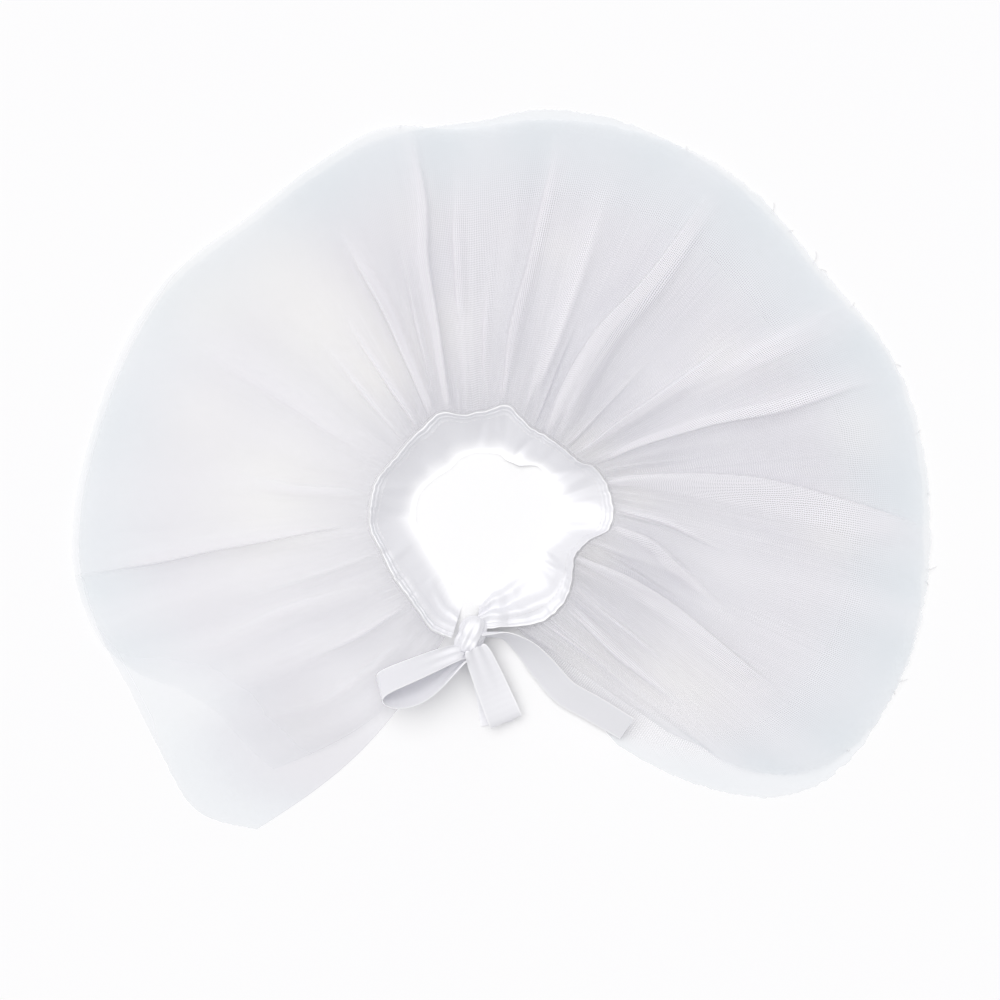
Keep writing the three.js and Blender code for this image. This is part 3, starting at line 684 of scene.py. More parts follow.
def crest_share(relief):
    """Where the cloth stands above its surroundings along the seam: 0 in troughs, 1 on crests, where it lies
    doubled. The net's colour follows it as painted light: painted highlight on crests, painted shade in
    troughs."""
    padded = np.pad(relief, ((0, 0), (CREST_REACH, CREST_REACH)), mode="edge")
    summed = np.cumsum(np.pad(padded, ((0, 0), (1, 0))), axis=1)
    wide = 2 * CREST_REACH + 1
    around = (summed[:, wide:] - summed[:, :-wide]) / wide
    return clamp01(0.42 + (relief - around) / CREST_SPAN)


def painted_light_share(place):
    """How much each place is painted whiter and warmer by the patches of painted light."""
    total = np.zeros(place.shape[:2])
    for x, y, radius, strength in zip(*PAINTED_LIGHT_PATCHES.values()):
        away = np.linalg.norm(place - np.array([x, y]), axis=-1) / radius
        total = total + strength * np.exp(-away * away)
    return clamp01(total)


def hem_share(shares, columns):
    """How near the hem each point lies, where the net shows more of its cool finish."""
    return np.broadcast_to((0.8 * ease((shares - 0.62) / 0.38))[:, None], (len(shares), columns))


def veil_share(seams, shares):
    """How far the holes of the net run together: most at the left, where it is spread, and along the hem."""
    left = mix(0.35, 1, ease((seams - 60) / 70))[None, :]
    return mix(left, 1, ease((shares - 0.60) / 0.34)[:, None])


def thread_share(grid, seams, shares, cover, doubled, corner=0.0):
    """How much of the net's pitch its threads take up: more where the cloth stands steeply and, by doubled,
    where it lies double, less at the loose hem and, by corner, towards the left front corner."""
    upright = np.clip(np.abs(grid_normals(grid)[..., 2]), LEAST_UPRIGHT, 1)
    spread = mix(1, SPREAD_COVER, ease((seams - 118) / 40))[None, :]
    hem = 1 - HEM_THINS * ease((shares - 0.95) / 0.05)[:, None]
    thin = 1 - corner * ease((shares - 0.74) / 0.26)[:, None] * ease((seams - 198) / 22)[None, :]
    bare = (1 - cover * spread * hem * thin) ** ((1 + doubled) / upright)
    both = 1 + CROSS_WEIGHT
    return (both - np.sqrt(np.maximum(both * both - 4 * CROSS_WEIGHT * (1 - bare), 0))) / (2 * CROSS_WEIGHT)


class TutuTulleSettings(bpy.types.PropertyGroup):
    cut_width: bpy.props.FloatProperty(
        name="Cut width", description="Hem edge of one flared layer of tulle before it is gathered",
        default=1.22, min=0.9, max=2.0, unit="LENGTH")
    cut_length: bpy.props.FloatProperty(
        name="Cut length", description="From the gathered edge to the hem",
        default=0.168, min=0.1, max=0.3, unit="LENGTH")
    cut_area: bpy.props.FloatProperty(
        name="Cut area", description="Flat area of one flared layer, in square metres",
        default=0.165, min=0.1, max=0.5)
    net_pitch: bpy.props.FloatProperty(
        name="Net pitch", description="Distance from one thread of the net to the next",
        default=0.0013, min=0.0008, max=0.004, unit="LENGTH")
    top_cover: bpy.props.FloatProperty(
        name="Top cover", description="Share of the top layer that its threads fill",
        default=0.42, min=0.1, max=0.9, subtype="FACTOR")
    under_cover: bpy.props.FloatProperty(
        name="Under cover", description="Share of the under layer that its threads fill",
        default=0.4, min=0.1, max=0.9, subtype="FACTOR")
    hem_fray: bpy.props.FloatProperty(
        name="Hem fray", description="How unevenly the raw hem is cut",
        default=0.0008, min=0, max=0.003, unit="LENGTH")


class TutuRibbonSettings(bpy.types.PropertyGroup):
    width: bpy.props.FloatProperty(
        name="Tie width", description="Width of the ribbon of the bow",
        default=0.019, min=0.01, max=0.03, unit="LENGTH")
    thickness: bpy.props.FloatProperty(
        name="Ribbon thickness", description="Thickness of the satin ribbon",
        default=0.00035, min=0.0002, max=0.001, unit="LENGTH")
    stitch_length: bpy.props.FloatProperty(
        name="Stitch length", description="Length of one stitch of the casing",
        default=0.0019, min=0.001, max=0.005, unit="LENGTH")
    stitch_spacing: bpy.props.FloatProperty(
        name="Stitch spacing", description="From one stitch of the casing to the next",
        default=0.0026, min=0.0015, max=0.008, unit="LENGTH")


class TutuStageSettings(bpy.types.PropertyGroup):
    field_width: bpy.props.FloatProperty(
        name="Field width", description="Width of table that the camera sees",
        default=0.555, min=0.3, max=1.0, unit="LENGTH")
    key_strength: bpy.props.FloatProperty(
        name="Key light", description="Strength of the soft light overhead, a little to the upper left",
        default=1.45, min=0, max=20)
    sky_strength: bpy.props.FloatProperty(
        name="Sky", description="Strength of the even light from all round",
        default=0.6, min=0, max=3)


def frayed(seams, settings, seed, share):
    """Small uneven steps of the raw hem, in mm outwards."""
    rough = settings.hem_fray / MM
    right = mix(0.35, 1, ease((110 - seams) / 60))
    steps = 0.7 * soft_noise(seams, seed, 1.1) + 0.6 * soft_noise(seams, seed + 1, 0.35)
    return rough * right * steps * share


def layer_uv(grid):
    """Places on the flat cloth in metres: along the hem's own length, and inwards from the hem along each
    thread."""
    along = np.concatenate([[0], np.cumsum(np.linalg.norm(np.diff(grid[-1], axis=0), axis=-1))])
    steps = np.linalg.norm(np.diff(grid, axis=0), axis=-1)
    out = np.concatenate([np.zeros((1, grid.shape[1])), np.cumsum(steps, axis=0)])
    return np.stack(np.broadcast_arrays(along[None, :], out - out[-1:]), axis=-1) * MM


def row_shares(rows):
    """Rows of a layer, closer together near the seam."""
    t = np.linspace(0, 1, rows)
    return 0.62 * t ** 1.6 + 0.38 * t


def tulle_piece(name, node, grid, seams, shares, settings, thread, crest, painted_light):
    """A layer of tulle from its grid of points, with what its net needs to know at each of them."""
    # The crest share and the patch share paint light into the net's colour: painted highlight on crests,
    # painted shade in troughs, and patches of painted light.
    piece = sheet_mesh(name, grid, layer_uv(grid), {
        "thread": thread, "crest": crest, "painted_light": painted_light, "hem": hem_share(shares, len(seams)),
        "veil": veil_share(seams, shares)})
    dress_piece(piece, ready_material("nylon_tulle_net", tulle_material, settings), "tulle", node)


class TUTU_OT_under_layer(bpy.types.Operator):
    """Makes the under layer of tulle, which lies on the table"""

    bl_idname = "tutu.under_layer"
    bl_label = "Under layer"

    def execute(self, context):
        settings = context.scene.tutu_tulle
        seams = np.linspace(SEAM_START, SEAM_END, UNDER_COLUMNS)
        shares = row_shares(UNDER_ROWS)
        place, distance = threads("under_turn", "under_reach", seams, shares, settings, 300)[:2]
        turn = round_share(seams)
        ridge, share = ridged_cells(turn, 31, 71, 0.2)
        waves = 1.5 * share * ridge * ease(distance / 8) * (1 - ease((distance - 12) / (30 + 40 * share)))
        slow, slow_share = ridged_cells(turn, 14, 77, 0.1)
        waves = waves + 0.55 * slow_share * slow * ease((distance - 30) / 60)
        height = layer_floor(seams, distance) + UNDER_REST + waves
        grid = np.concatenate([place, height[..., None]], axis=-1)
        # Its left front edge is turned under, so the cloth lies doubled there, less so towards the hem.
        along_edge = ease((shares - 0.3) / 0.25) * mix(1, 0.35, ease((shares - 0.76) / 0.18))
        turned_under = TURNED_UNDER * ease((seams - 214) / 14)[None, :] * along_edge[:, None]
        thread = thread_share(grid, seams, shares, settings.under_cover, turned_under)
        # The crests of its waves are painted whiter and its troughs greyer, and the patches of painted light
        # reach it at half strength.
        tulle_piece("tulle_under_layer", "skirt_under", grid, seams, shares, settings,
                    thread, crest_share(waves), 0.5 * painted_light_share(place))
        return {"FINISHED"}


class TUTU_OT_top_layer(bpy.types.Operator):
    """Makes the top layer of tulle with its gathers and large folds"""

    bl_idname = "tutu.top_layer"
    bl_label = "Top layer"

    def execute(self, context):
        settings = context.scene.tutu_tulle
        seams = np.linspace(SEAM_START, SEAM_END, TOP_COLUMNS)
        shares = row_shares(TOP_ROWS)
        place, distance, length, sideways = threads("top_turn", "top_reach", seams, shares, settings, 500)
        lift, lean = fold_relief(seams, shares, place)
        floor = layer_floor(seams, TOP_FALL * distance)
        height = (floor + UNDER_REST + LAYER_GAP + SEAM_GAP * (1 - ease(distance / SEAM_GAP_RUN))
                  + small_gathers(seams, distance) + flowing_waves(seams, distance, length) + lift)
        place = place + sideways * lean[..., None]
        grid = np.concatenate([place, height[..., None]], axis=-1)
        # The crest share sets where the cloth lies doubled, and paints the net whiter on crests and greyer in
        # troughs as painted light.
        crest = crest_share(height - floor)
        doubled = ease((crest - 0.55) / 0.45)
        thread = thread_share(grid, seams, shares, settings.top_cover, doubled, LEFT_CORNER_THINS)
        # The patches of painted light make the top layer whiter and warmer at full strength.
        tulle_piece("tulle_top_layer", "skirt_top", grid, seams, shares, settings,
                    thread, crest, painted_light_share(place))
        return {"FINISHED"}


class TUTU_OT_hem_threads(bpy.types.Operator):
    """Makes the loose threads that stick out of the raw hem"""

    bl_idname = "tutu.hem_threads"
    bl_label = "Loose hem threads"

    def execute(self, context):
        hem_turn = curve(FAN["seam"], FAN["top_turn"])
        hem_reach = curve(FAN["seam"], FAN["top_reach"])
        seams = np.linspace(SEAM_START + 12, SEAM_END - 20, 600)
        lines = []
        for angle, lift, length, curl in zip(*HEM_THREADS.values()):
            seam = seams[np.argmin(np.abs(hem_turn(seams) - angle))]
            foot = polar(np.array(angle), hem_reach(seam) - THREAD_ROOT)
            t = np.linspace(0, 1, 14)
            heading = math.radians(angle) + curl * t
            steps = np.stack([np.cos(heading), np.sin(heading)], axis=-1) * THREAD_SHOWS * length / len(t)
            path = foot + np.cumsum(steps, axis=0)
            height = THREAD_HEIGHT + lift * np.sin(np.pi * t) - THREAD_DROP * ease(t)
            lines.append(np.concatenate([path, height[:, None]], axis=-1))
        piece = tube_mesh("hem_loose_threads", lines, THREAD_RADIUS)
        dress_piece(piece, ready_material("polyester_sewing_thread", thread_material), "tulle")
        return {"FINISHED"}


# ---- Satin ribbon --------------------------------------------------------------------------------

SELVEDGE = 0.05  # width of the firm edge, as a share of the ribbon's
RIBBON_ROWS = 17
SHARP_CORNER = 55  # degrees between two faces past which an edge of the ribbon is drawn sharp
TABLE_CLEARANCE = 0.3  # a tail lies this far above the table at least


def thicken(piece, settings):
    """Gives a ribbon its thickness, with square-cut edges."""
    add_modifier(piece, "SOLIDIFY", "wall", thickness=settings.thickness, offset=0.0)
    bake_modifiers(piece)
    piece.data.shade_smooth()
    piece.data.set_sharp_from_angle(angle=math.radians(SHARP_CORNER))


def ribbon_piece(name, node, grid, settings, shares, width, pale=0.0):
    """A ribbon from its grid of points, rows at shares of its width and columns along it. Its selvedges are
    firm and whiter, and pale says where else it is painted whiter as painted light."""
    steps = np.linalg.norm(np.diff(grid, axis=1), axis=-1).mean(axis=0)
    along = np.concatenate([[0], np.cumsum(steps)]) * MM
    uv = np.stack(np.broadcast_arrays(along[None, :], (shares * width)[:, None]), axis=-1)
    firm = 1 - ease(np.minimum(shares, 1 - shares) / SELVEDGE)
    selvedge_and_painted_light = np.maximum(np.broadcast_to(firm[:, None], grid.shape[:2]), pale)
    piece = sheet_mesh(name, grid, uv, {"selvedge_and_painted_light": selvedge_and_painted_light})
    thicken(piece, settings)
    dress_piece(piece, ready_material("polyester_satin_ribbon", satin_material), "satin", node)


def ribbon_creases(shares, t, knot_ends, seed, depth=0.95):
    """Lengthwise pleats that run out of the knot and die away, with a slight crumple, in mm off the
    ribbon's face."""
    near = np.zeros_like(t)
    for end, reach in knot_ends:
        near = np.maximum(near, 1 - ease(np.abs(t - end) / reach))
    pleats = depth * np.cos(2 * np.pi * (2.4 * shares[:, None] + 0.25 * t[None, :] + 0.1)) * near[None, :]
    crumple = 0.22 * soft_noise(t * 60 + 9 * seed, seed, 7)[None, :] * np.sin(np.pi * shares)[:, None]
    return pleats + crumple


def loop_grid(heading, side, t, start, length, breadth, swell, mouth, sag):
    """A drop-shaped path from the knot and back, its two leaves a mouth apart at the knot."""
    drop = (breadth * np.sin(2 * np.pi * t) * np.sin(np.pi * t) ** swell
            - sag * np.sin(2 * np.pi * t) ** 2 * np.sin(np.pi * t))
    along = length * (1 - np.cos(2 * np.pi * t)) / 2
    aside = drop + mouth / 2 * np.cos(np.pi * t)
    return np.array(start) + heading * along[:, None] + side * aside[:, None]


def ribbon_grid(edge, across, widths, shares, creases):
    """Points of a ribbon from one edge line, the direction to its other edge, its widths and its creases."""
    grid = edge[None] + across[None] * (shares[:, None] * widths[None, :])[..., None]
    return grid + grid_normals(grid) * creases[..., None]


CASING_FROM = 0.8  # share of the waistband's width where its casing starts
FOOT_SPREAD = 9  # the foot of the waistband reaches this far inwards on the table
FOOT_LIFT = 0.2  # the ribbon's middle lies this far above the table
FOOT_FLAT = 0.05  # share of the width that lies flat
# Painted light: the foot is painted whiter, so that it fades into the table without the shade along its edge.
FOOT_PAINTED_LIGHT = 0.3  # the foot is whiter over this share of the width, but not beside the knot
WAIST_WIDTH = 0.022  # in metres, of the ribbon across
FOOT_CURL = 2.2  # the foot curls up by this at the upper right
BELLY = 1.6  # the wall swells out by this halfway up
PUCKERS = 58  # puckers round the raised edge
PIPING = (0.965, 0.024, 0.75)  # level of the cord's ridge in the width, its half-width and its height
PIPING_GROOVE = (0.905, 0.022, -0.55)


class TUTU_OT_waistband(bpy.types.Operator):
    """Makes the satin waistband that stands on its edge, with the casing that holds the gathers"""

    bl_idname = "tutu.waistband"
    bl_label = "Waistband"

    def execute(self, context):
        settings = context.scene.tutu_ribbon
        angles = np.linspace(BAND["angle"][0], BAND["angle"][-1], 900)
        # The rows lie closer together in the casing, whose relief is finer.
        levels = np.concatenate([np.linspace(0, 0.74, 24), np.linspace(0.76, 1, 24)])
        # Painted light: the foot is painted whiter away from the knot, lifting its shade into the white of
        # the table.
        foot = (1 - ease(levels / FOOT_PAINTED_LIGHT))[:, None] * ease((angles + 75) / 40)[None, :]
        grid = waist_grid(angles, levels)
        ribbon_piece("waistband_ribbon", "waistband", grid, settings, levels, WAIST_WIDTH,
                     pale=foot)
        return {"FINISHED"}


def bump_at(x, middle, half_width):
    """A smooth bump of height 1 in a column or row of places."""
    return np.exp(-(((x - middle) / half_width) ** 2))


def waist_grid(angles, levels):
    """Points of the waistband in mm, rows from its foot to its raised edge."""
    level = levels[:, None]
    belly = BELLY * np.sin(np.pi * level)
    foot, rim = foot_radius(angles), rim_radius(angles)
    radius = mix(foot[None] - FOOT_SPREAD, rim[None], level ** 0.8) + belly / 2
    climb = clamp01((level - FOOT_FLAT) / (1 - FOOT_FLAT)) ** 1.35
    height = FOOT_LIFT + (rim_height(angles)[None] - FOOT_LIFT) * climb + 0.6 * belly * level
    # The raised edge puckers where the gathers pull on it, and the soft wall below crumples a little.
    turn = (angles - angles[0]) / (angles[-1] - angles[0])
    pucker, share = ridged_cells(turn, PUCKERS, 101, 0.1)
    casing = ease((level - CASING_FROM + 0.12) / 0.2)
    lip = 0.5 * bump_at(level, CASING_FROM, 0.03)
    radius = radius + (0.55 * share * pucker - 0.3)[None] * casing + lip
    # Piping: the edge is rolled over a cord, with a groove below it.
    corded = (0.25 + 0.75 * ease((angles - 22) / 18) * ease((262 - angles) / 30))[None]
    for at, half_width, rise in (PIPING, PIPING_GROOVE):
        height = height + rise * corded * bump_at(level, at, half_width)
    height = height + (0.7 * soft_noise(angles, 7, 5.5) + 0.25 * soft_noise(angles, 8, 1.7))[None] * casing
    radius = radius + 0.8 * soft_noise(angles, 12, 9)[None] * np.sin(np.pi * level)
    height = height + 0.5 * soft_noise(angles, 13, 6)[None] * np.sin(np.pi * level) ** 2
    for foot_angle, rim_angle, width, depth, start, end in zip(*BAND_CREASES.values()):
        off = (angles[None] - mix(foot_angle, rim_angle, level)) / width
        crease = depth * np.exp(-off * off) * np.sin(np.pi * clamp01((level - start) / (end - start)))
        height = height + crease
        radius = radius - 0.5 * crease
    height = height + FOOT_CURL * bump_at(angles[None], 63, 12) * (1 - level) ** 6
    for knot_angle, end_angle, knot_level, end_level, width, depth in zip(*BAND_PLEATS.values()):
        out = clamp01((angles - knot_angle) / (end_angle - knot_angle))[None]
        waver = 0.02 * soft_noise(angles + 50 * depth, 21, 7)[None]
        off = (level - mix(knot_level, end_level, out) - waver) / width
        pleat = depth * np.exp(-off * off) * (1 - out) ** 0.8
        height = height + pleat
        radius = radius - 0.5 * pleat
    height = np.maximum(height, FOOT_LIFT)
    place = polar(np.broadcast_to(angles, radius.shape), radius)
    return np.concatenate([place, height[..., None]], axis=-1)


STITCH_THREAD = 0.0002  # radius in metres
STITCH_SEED = 4
STITCHED = (-88, 246)  # plan angles where the rows of stitches start and end
STITCH_CLEARANCE = 0.42  # from the middle of the ribbon's thickness to the middle of a stitch


def stitch_tree(settings):
    """A node tree that lays one small stitch after another along a line."""
    tree = bpy.data.node_groups.new("running_stitches", "GeometryNodeTree")
    tree.interface.new_socket("Geometry", in_out="INPUT", socket_type="NodeSocketGeometry")
    length_in = tree.interface.new_socket("Stitch length", in_out="INPUT", socket_type="NodeSocketFloat")
    spacing_in = tree.interface.new_socket("Stitch spacing", in_out="INPUT", socket_type="NodeSocketFloat")
    thread_in = tree.interface.new_socket("Thread radius", in_out="INPUT", socket_type="NodeSocketFloat")
    seed_in = tree.interface.new_socket("Seed", in_out="INPUT", socket_type="NodeSocketInt")
    tree.interface.new_socket("Geometry", in_out="OUTPUT", socket_type="NodeSocketGeometry")
    given = add_node(tree, "NodeGroupInput").outputs
    line = add_node(tree, "GeometryNodeMeshToCurve", {"Mesh": given["Geometry"]})
    spaced = add_node(tree, "GeometryNodeResampleCurve", {
        "Curve": line.outputs[0], "Length": given["Stitch spacing"]}, mode="LENGTH")
    capsule = add_node(tree, "GeometryNodeMeshUVSphere", {"Segments": 6, "Rings": 5, "Radius": 1.0})
    tangent = add_node(tree, "GeometryNodeInputTangent")
    turned = add_node(tree, "FunctionNodeAlignRotationToVector", {"Vector": tangent.outputs[0]}, axis="Z")
    uneven = add_node(tree, "FunctionNodeRandomValue", {2: 0.85, 3: 1.15, "Seed": given["Seed"]},
                      data_type="FLOAT")
    half = add_node(tree, "ShaderNodeMath", {0: given["Stitch length"], 1: 0.5}, operation="MULTIPLY")
    long = add_node(tree, "ShaderNodeMath", {0: half.outputs[0], 1: uneven.outputs[1]}, operation="MULTIPLY")
    size = add_node(tree, "ShaderNodeCombineXYZ", {"X": given["Thread radius"], "Y": given["Thread radius"],
                                                   "Z": long.outputs[0]})
    laid = add_node(tree, "GeometryNodeInstanceOnPoints", {
        "Points": spaced.outputs[0], "Instance": capsule.outputs["Mesh"], "Rotation": turned.outputs[0],
        "Scale": size.outputs[0]})
    real = add_node(tree, "GeometryNodeRealizeInstances", {"Geometry": laid.outputs[0]})
    painted = add_node(tree, "GeometryNodeSetMaterial", {"Geometry": real.outputs[0]})
    painted.inputs["Material"].default_value = ready_material("polyester_sewing_thread", thread_material)
    add_node(tree, "NodeGroupOutput", {"Geometry": painted.outputs[0]})
    values = {length_in.identifier: settings.stitch_length, spacing_in.identifier: settings.stitch_spacing,
              thread_in.identifier: STITCH_THREAD, seed_in.identifier: STITCH_SEED}
    return tree, values


class TUTU_OT_casing_stitches(bpy.types.Operator):
    """Sews the casing of the waistband with two rows of stitches, one inside and one outside"""

    bl_idname = "tutu.casing_stitches"
    bl_label = "Casing stitches"

    def execute(self, context):
        settings = context.scene.tutu_ribbon
        angles = np.linspace(*STITCHED, 700)
        grid = waist_grid(angles, np.array([CASING_FROM - 0.1, CASING_FROM - 0.05, CASING_FROM]))
        normal = grid_normals(grid)[1]
        points, edges = [], []
        for side in (STITCH_CLEARANCE, -STITCH_CLEARANCE):
            base = len(points)
            points += list(grid[1] + normal * side + [RING[0], RING[1], 0])
            edges += [(base + k, base + k + 1) for k in range(len(angles) - 1)]
        mesh = bpy.data.meshes.new("casing_stitches")
        mesh.from_pydata((np.array(points) * MM).tolist(), edges, [])
        piece = link(mesh, "casing_stitches")
        tree, values = stitch_tree(settings)
        modifier = add_modifier(piece, "NODES", "stitches", node_group=tree)
        for key, value in values.items():
            modifier[key] = value
        bake_modifiers(piece)
        dress_piece(piece, ready_material("polyester_sewing_thread", thread_material), "satin")
        return {"FINISHED"}


# The bow's two loops, in mm round the ring: where each leaves the knot, how far it reaches and how its
# leaves part.
LEFT_LOOP = {
    "start": (-13.4, -77.0, 16.8), "length": 50, "breadth": 7.6, "swell": 1.2, "mouth": 2.4, "sag": 4.8,
}
LEFT_BEARING = 206.5  # plan angle in which it points
LEFT_ARCH = 6.8  # its upper edge rises by this
LEFT_TWIST = 2.2  # its far leaf lies this much higher than its turn, and its near leaf as much lower
LEFT_PINCH = 8.5  # width of the ribbon at the knot
FAR_LEAF_HANGS = np.array([-4.0, 12.2, -14.0])  # direction from the upper edge to the lower one
NEAR_LEAF_HANGS = np.array([-5.0, 12.2, -13.4])
MIDDLE_LOOP = {
    "start": (-8.0, -70.2, 13.0), "length": 45, "breadth": 3.2, "swell": 0.7, "mouth": 2.4, "sag": 0,
}
MIDDLE_BEARING = -67.6
MIDDLE_SLOPE = -0.15  # height gained for each millimetre along it
MIDDLE_DROP = 11.0  # it drops at the knot and levels out, at most by a quarter of this
MIDDLE_PINCH = 9.5  # width of the ribbon at the knot
MIDDLE_PLEATS = 0.4  # depth of its pleats
MIDDLE_TILTS = (-0.42, -0.08)  # slope across it, at the knot and at its end


class TUTU_OT_bow_loops(bpy.types.Operator):
    """Makes the two loops of the bow: one on its edge to the left, one lying down in the middle"""

    bl_idname = "tutu.bow_loops"
    bl_label = "Bow loops"

    def execute(self, context):
        settings = context.scene.tutu_ribbon
        width = settings.width / MM
        shares = np.linspace(0, 1, RIBBON_ROWS)
        t = np.linspace(0, 1, 220)
        full = np.sin(np.pi * t) ** 0.55
        turn = math.radians(LEFT_BEARING)
        path = loop_grid(np.array([math.cos(turn), math.sin(turn), 0]),
                         np.array([math.sin(turn), -math.cos(turn), 0]), t, **LEFT_LOOP)
        edge = path + np.stack([0 * t, 0 * t, LEFT_ARCH * full + LEFT_TWIST * np.sin(2 * np.pi * t)], axis=-1)
        nearer = ease((t - 0.46) / 0.22)[:, None]
        hangs = unit(mix(FAR_LEAF_HANGS, NEAR_LEAF_HANGS, nearer))
        creases = ribbon_creases(shares, t, ((0, 0.3), (1, 0.3)), 3)
        grid = ribbon_grid(edge, hangs, mix(LEFT_PINCH, width, full), shares, creases)
        ribbon_piece("bow_loop_left_ribbon", "bow_loop_left", grid, settings, shares, settings.width)
        turn = math.radians(MIDDLE_BEARING)
        axis = unit(np.array([math.cos(turn), math.sin(turn), MIDDLE_SLOPE]))
        tilt = mix(*MIDDLE_TILTS, np.sin(np.pi * t) ** 0.7)
        side = unit(np.stack([0 * t - math.sin(turn), 0 * t + math.cos(turn), tilt], axis=-1))
        path = loop_grid(axis, np.array([0, 0, 1.0]), t, **MIDDLE_LOOP)
        path[:, 2] -= MIDDLE_DROP * (np.sin(np.pi * t) * np.cos(np.pi * t)) ** 2
        widths = mix(MIDDLE_PINCH, width, np.sin(np.pi * t) ** 0.5)
        edge = path - side * (widths / 2)[:, None]
        creases = ribbon_creases(shares, t, ((0, 0.34), (1, 0.34)), 5, MIDDLE_PLEATS)
        grid = ribbon_grid(edge, side, widths, shares, creases)
        ribbon_piece("bow_loop_middle_ribbon", "bow_loop_middle", grid, settings, shares, settings.width)
        return {"FINISHED"}


def tail_grid(rows, steps, shares, knot_reach, seed):
    """Points of a free end of the tie."""
    keys = np.linspace(0, 1, len(rows["x"]))
    t = np.linspace(0, 1, steps)
    line = np.stack([curve(keys, rows[axis])(t) for axis in ("x", "y", "z")], axis=-1)
    bank = np.radians(curve(keys, rows["bank"])(t))
    widths = curve(keys, rows["width"])(t)
    tangent = np.gradient(line, axis=0)
    flat = unit(np.stack([-tangent[:, 1], tangent[:, 0], 0 * t], axis=-1))
    across = flat * np.cos(bank)[:, None] + np.array([0, 0, 1.0]) * np.sin(bank)[:, None]
    edge = line - across * (widths / 2)[:, None]
    creases = ribbon_creases(shares, t, ((0, knot_reach),), seed)
    creases = creases + 0.8 * np.sin(np.pi * shares)[:, None] * (bank > 0.01)[None, :]
    return ribbon_grid(edge, across, widths, shares, creases)


class TUTU_OT_tie_tails(bpy.types.Operator):
    """Makes the two free ends of the tie"""

    bl_idname = "tutu.tie_tails"
    bl_label = "Tie tails"

    def execute(self, context):
        settings = context.scene.tutu_ribbon
        shares = np.linspace(0, 1, RIBBON_ROWS)
        grid = tail_grid(TAIL_MIDDLE, 90, shares, 0.4, 7)
        grid[..., 2] = np.maximum(grid[..., 2], TABLE_CLEARANCE)
        ribbon_piece("tie_tail_middle_ribbon", "tie_tail_middle", grid, settings, shares, settings.width)
        grid = tail_grid(TAIL_RIGHT, 190, shares, 0.3, 8)
        ribbon_piece("tie_tail_right_ribbon", "tie_tail_right", grid, settings, shares, settings.width)
        return {"FINISHED"}


KNOT_MIDDLE = (-10.6, -64.2, 8.8)
KNOT_BEARING = 248  # plan angle of its length
KNOT_HALVES = (12.0, 7.4, 5.6)  # half its length, width and height


class TUTU_OT_bow_knot(bpy.types.Operator):
    """Makes the knot: ribbon wrapped once over the crossing, creased along its length"""

    bl_idname = "tutu.bow_knot"
    bl_label = "Bow knot"

    def execute(self, context):
        length, width, height = KNOT_HALVES
        lie = math.radians(KNOT_BEARING)
        s = np.linspace(-1, 1, 64)[None, :]
        turn = np.linspace(0, 2 * np.pi, 97)[:, None]
        barrel = np.sqrt(np.maximum(1 - np.abs(s) ** 2.6, 0)) * (1 + 0.12 * s * s)
        crease = (1 + 0.075 * np.cos(6 * turn + 1.6 * s) * (1 - s ** 4) + 0.03 * np.cos(13 * turn - 3 * s + 1)
                  - 0.07 * bump_at(s, 0.15 * np.sin(turn), 0.16))
        x = np.broadcast_to(length * s, crease.shape)
        y = width * barrel * crease * np.cos(turn)
        z = height * barrel * crease * np.sin(turn)
        grid = np.stack([
            KNOT_MIDDLE[0] + x * math.cos(lie) - y * math.sin(lie),
            KNOT_MIDDLE[1] + x * math.sin(lie) + y * math.cos(lie),
            KNOT_MIDDLE[2] + z,
        ], axis=-1)
        uv = np.stack(np.broadcast_arrays((s + 1) * 0.012, turn * 0.005), axis=-1)
        piece = sheet_mesh("bow_knot_wrap", grid, uv, {"selvedge_and_painted_light": np.zeros(crease.shape)})
        close_seams(piece)
        dress_piece(piece, ready_material("polyester_satin_ribbon", satin_material), "satin", "bow_knot")
        return {"FINISHED"}


# ---- Stage ---------------------------------------------------------------------------------------

def add_soft_light(name, bearing, elevation, spread, strength, colour):
    """A wide soft light far away, seen from the table at a plan bearing and an elevation in degrees."""
    lamp = bpy.data.lights.new(name, "SUN")
    lamp.angle = math.radians(spread)
    lamp.energy = strength
    lamp.color = linear(colour)[:3]
    light = bpy.data.objects.new(name, lamp)
    turn, rise = math.radians(bearing), math.radians(elevation)
    towards = Vector((math.cos(turn) * math.cos(rise), math.sin(turn) * math.cos(rise), math.sin(rise)))
    light.location = 2 * towards
    light.rotation_euler = towards.to_track_quat("Z", "Y").to_euler()
    bpy.context.scene.collection.objects.link(light)


TABLE_HALF = 12.0  # metres, so that the table has no edge in sight from low angles either
CAMERA_PLACE = (-0.00075, -0.0169, 1.3)  # in metres: it looks straight down, a little in front of the middle
KEY_BEARING, KEY_ELEVATION, KEY_SPREAD = 128, 70, 60  # degrees


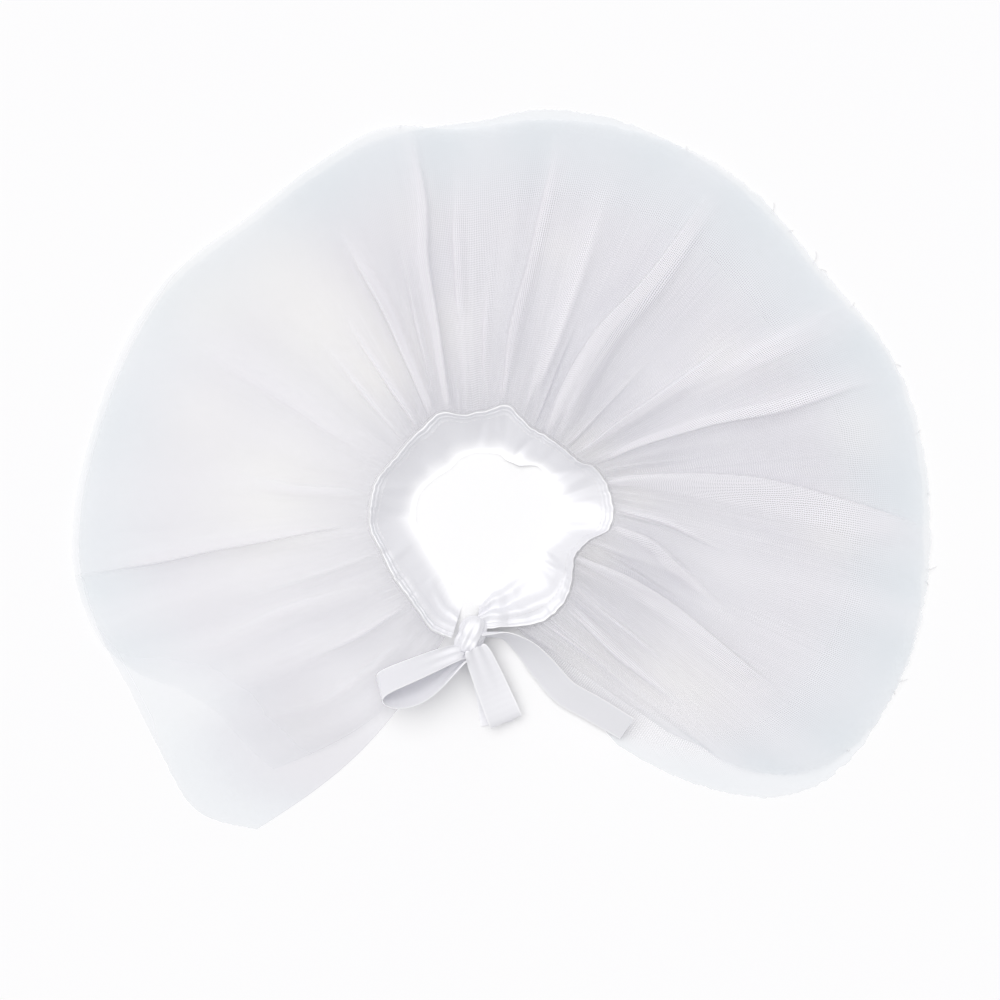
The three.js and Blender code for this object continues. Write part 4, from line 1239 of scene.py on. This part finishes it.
class TUTU_OT_stage(bpy.types.Operator):
    """Makes the pale table, the soft lights and the camera straight above"""

    bl_idname = "tutu.stage"
    bl_label = "Stage"

    def execute(self, context):
        settings = context.scene.tutu_stage
        mesh = bpy.data.meshes.new("table_top")
        corners = [(x * TABLE_HALF, y * TABLE_HALF, 0) for x, y in ((-1, -1), (1, -1), (1, 1), (-1, 1))]
        mesh.from_pydata(corners, [], [(0, 1, 2, 3)])
        table_top = link(mesh, "table_top")
        mesh.materials.append(ready_material("white_laminate_table", table_material))

        world = bpy.data.worlds.new("studio_room")
        world.use_nodes = True
        background = world.node_tree.nodes["Background"]
        background.inputs["Color"].default_value = linear("#fdfdff")
        background.inputs["Strength"].default_value = settings.sky_strength
        context.scene.world = world
        add_soft_light("key_softbox", KEY_BEARING, KEY_ELEVATION, KEY_SPREAD, settings.key_strength,
                       "#fffefc")

        context.scene.view_settings.view_transform = "Standard"
        context.scene.view_settings.look = "None"
        lens = bpy.data.cameras.new("camera")
        lens.lens = lens.sensor_width * CAMERA_PLACE[2] / settings.field_width
        camera = bpy.data.objects.new("camera", lens)
        camera.location = CAMERA_PLACE
        context.scene.collection.objects.link(camera)
        context.scene.camera = camera
        return {"FINISHED"}


class TUTU_PT_panel(bpy.types.Panel):
    """Lists the steps that make the skirt"""

    bl_idname = "TUTU_PT_panel"
    bl_label = "Dog tutu skirt"
    bl_space_type = "VIEW_3D"
    bl_region_type = "UI"
    bl_category = "Tutu"

    def draw(self, context):
        for step in STEPS:
            self.layout.operator(step.bl_idname)
        for group in (context.scene.tutu_tulle, context.scene.tutu_ribbon, context.scene.tutu_stage):
            for name in group.__annotations__:
                self.layout.prop(group, name)


STEPS = (
    TUTU_OT_stage, TUTU_OT_under_layer, TUTU_OT_waistband, TUTU_OT_top_layer, TUTU_OT_hem_threads,
    TUTU_OT_casing_stitches, TUTU_OT_tie_tails, TUTU_OT_bow_loops, TUTU_OT_bow_knot,
)
GROUPS = {"tutu_tulle": TutuTulleSettings, "tutu_ribbon": TutuRibbonSettings, "tutu_stage": TutuStageSettings}


def register():
    for group in GROUPS.values():
        bpy.utils.register_class(group)
    for name, group in GROUPS.items():
        setattr(bpy.types.Scene, name, bpy.props.PointerProperty(type=group))
    for step in STEPS:
        bpy.utils.register_class(step)
    bpy.utils.register_class(TUTU_PT_panel)


def unregister():
    bpy.utils.unregister_class(TUTU_PT_panel)
    for step in reversed(STEPS):
        bpy.utils.unregister_class(step)
    for name in GROUPS:
        delattr(bpy.types.Scene, name)
    for group in GROUPS.values():
        bpy.utils.unregister_class(group)


def main():
    register()
    bpy.ops.tutu.stage()
    bpy.ops.tutu.under_layer()
    bpy.ops.tutu.waistband()
    bpy.ops.tutu.top_layer()
    bpy.ops.tutu.hem_threads()
    bpy.ops.tutu.casing_stitches()
    bpy.ops.tutu.tie_tails()
    bpy.ops.tutu.bow_loops()
    bpy.ops.tutu.bow_knot()


if __name__ == "__main__":
    main()
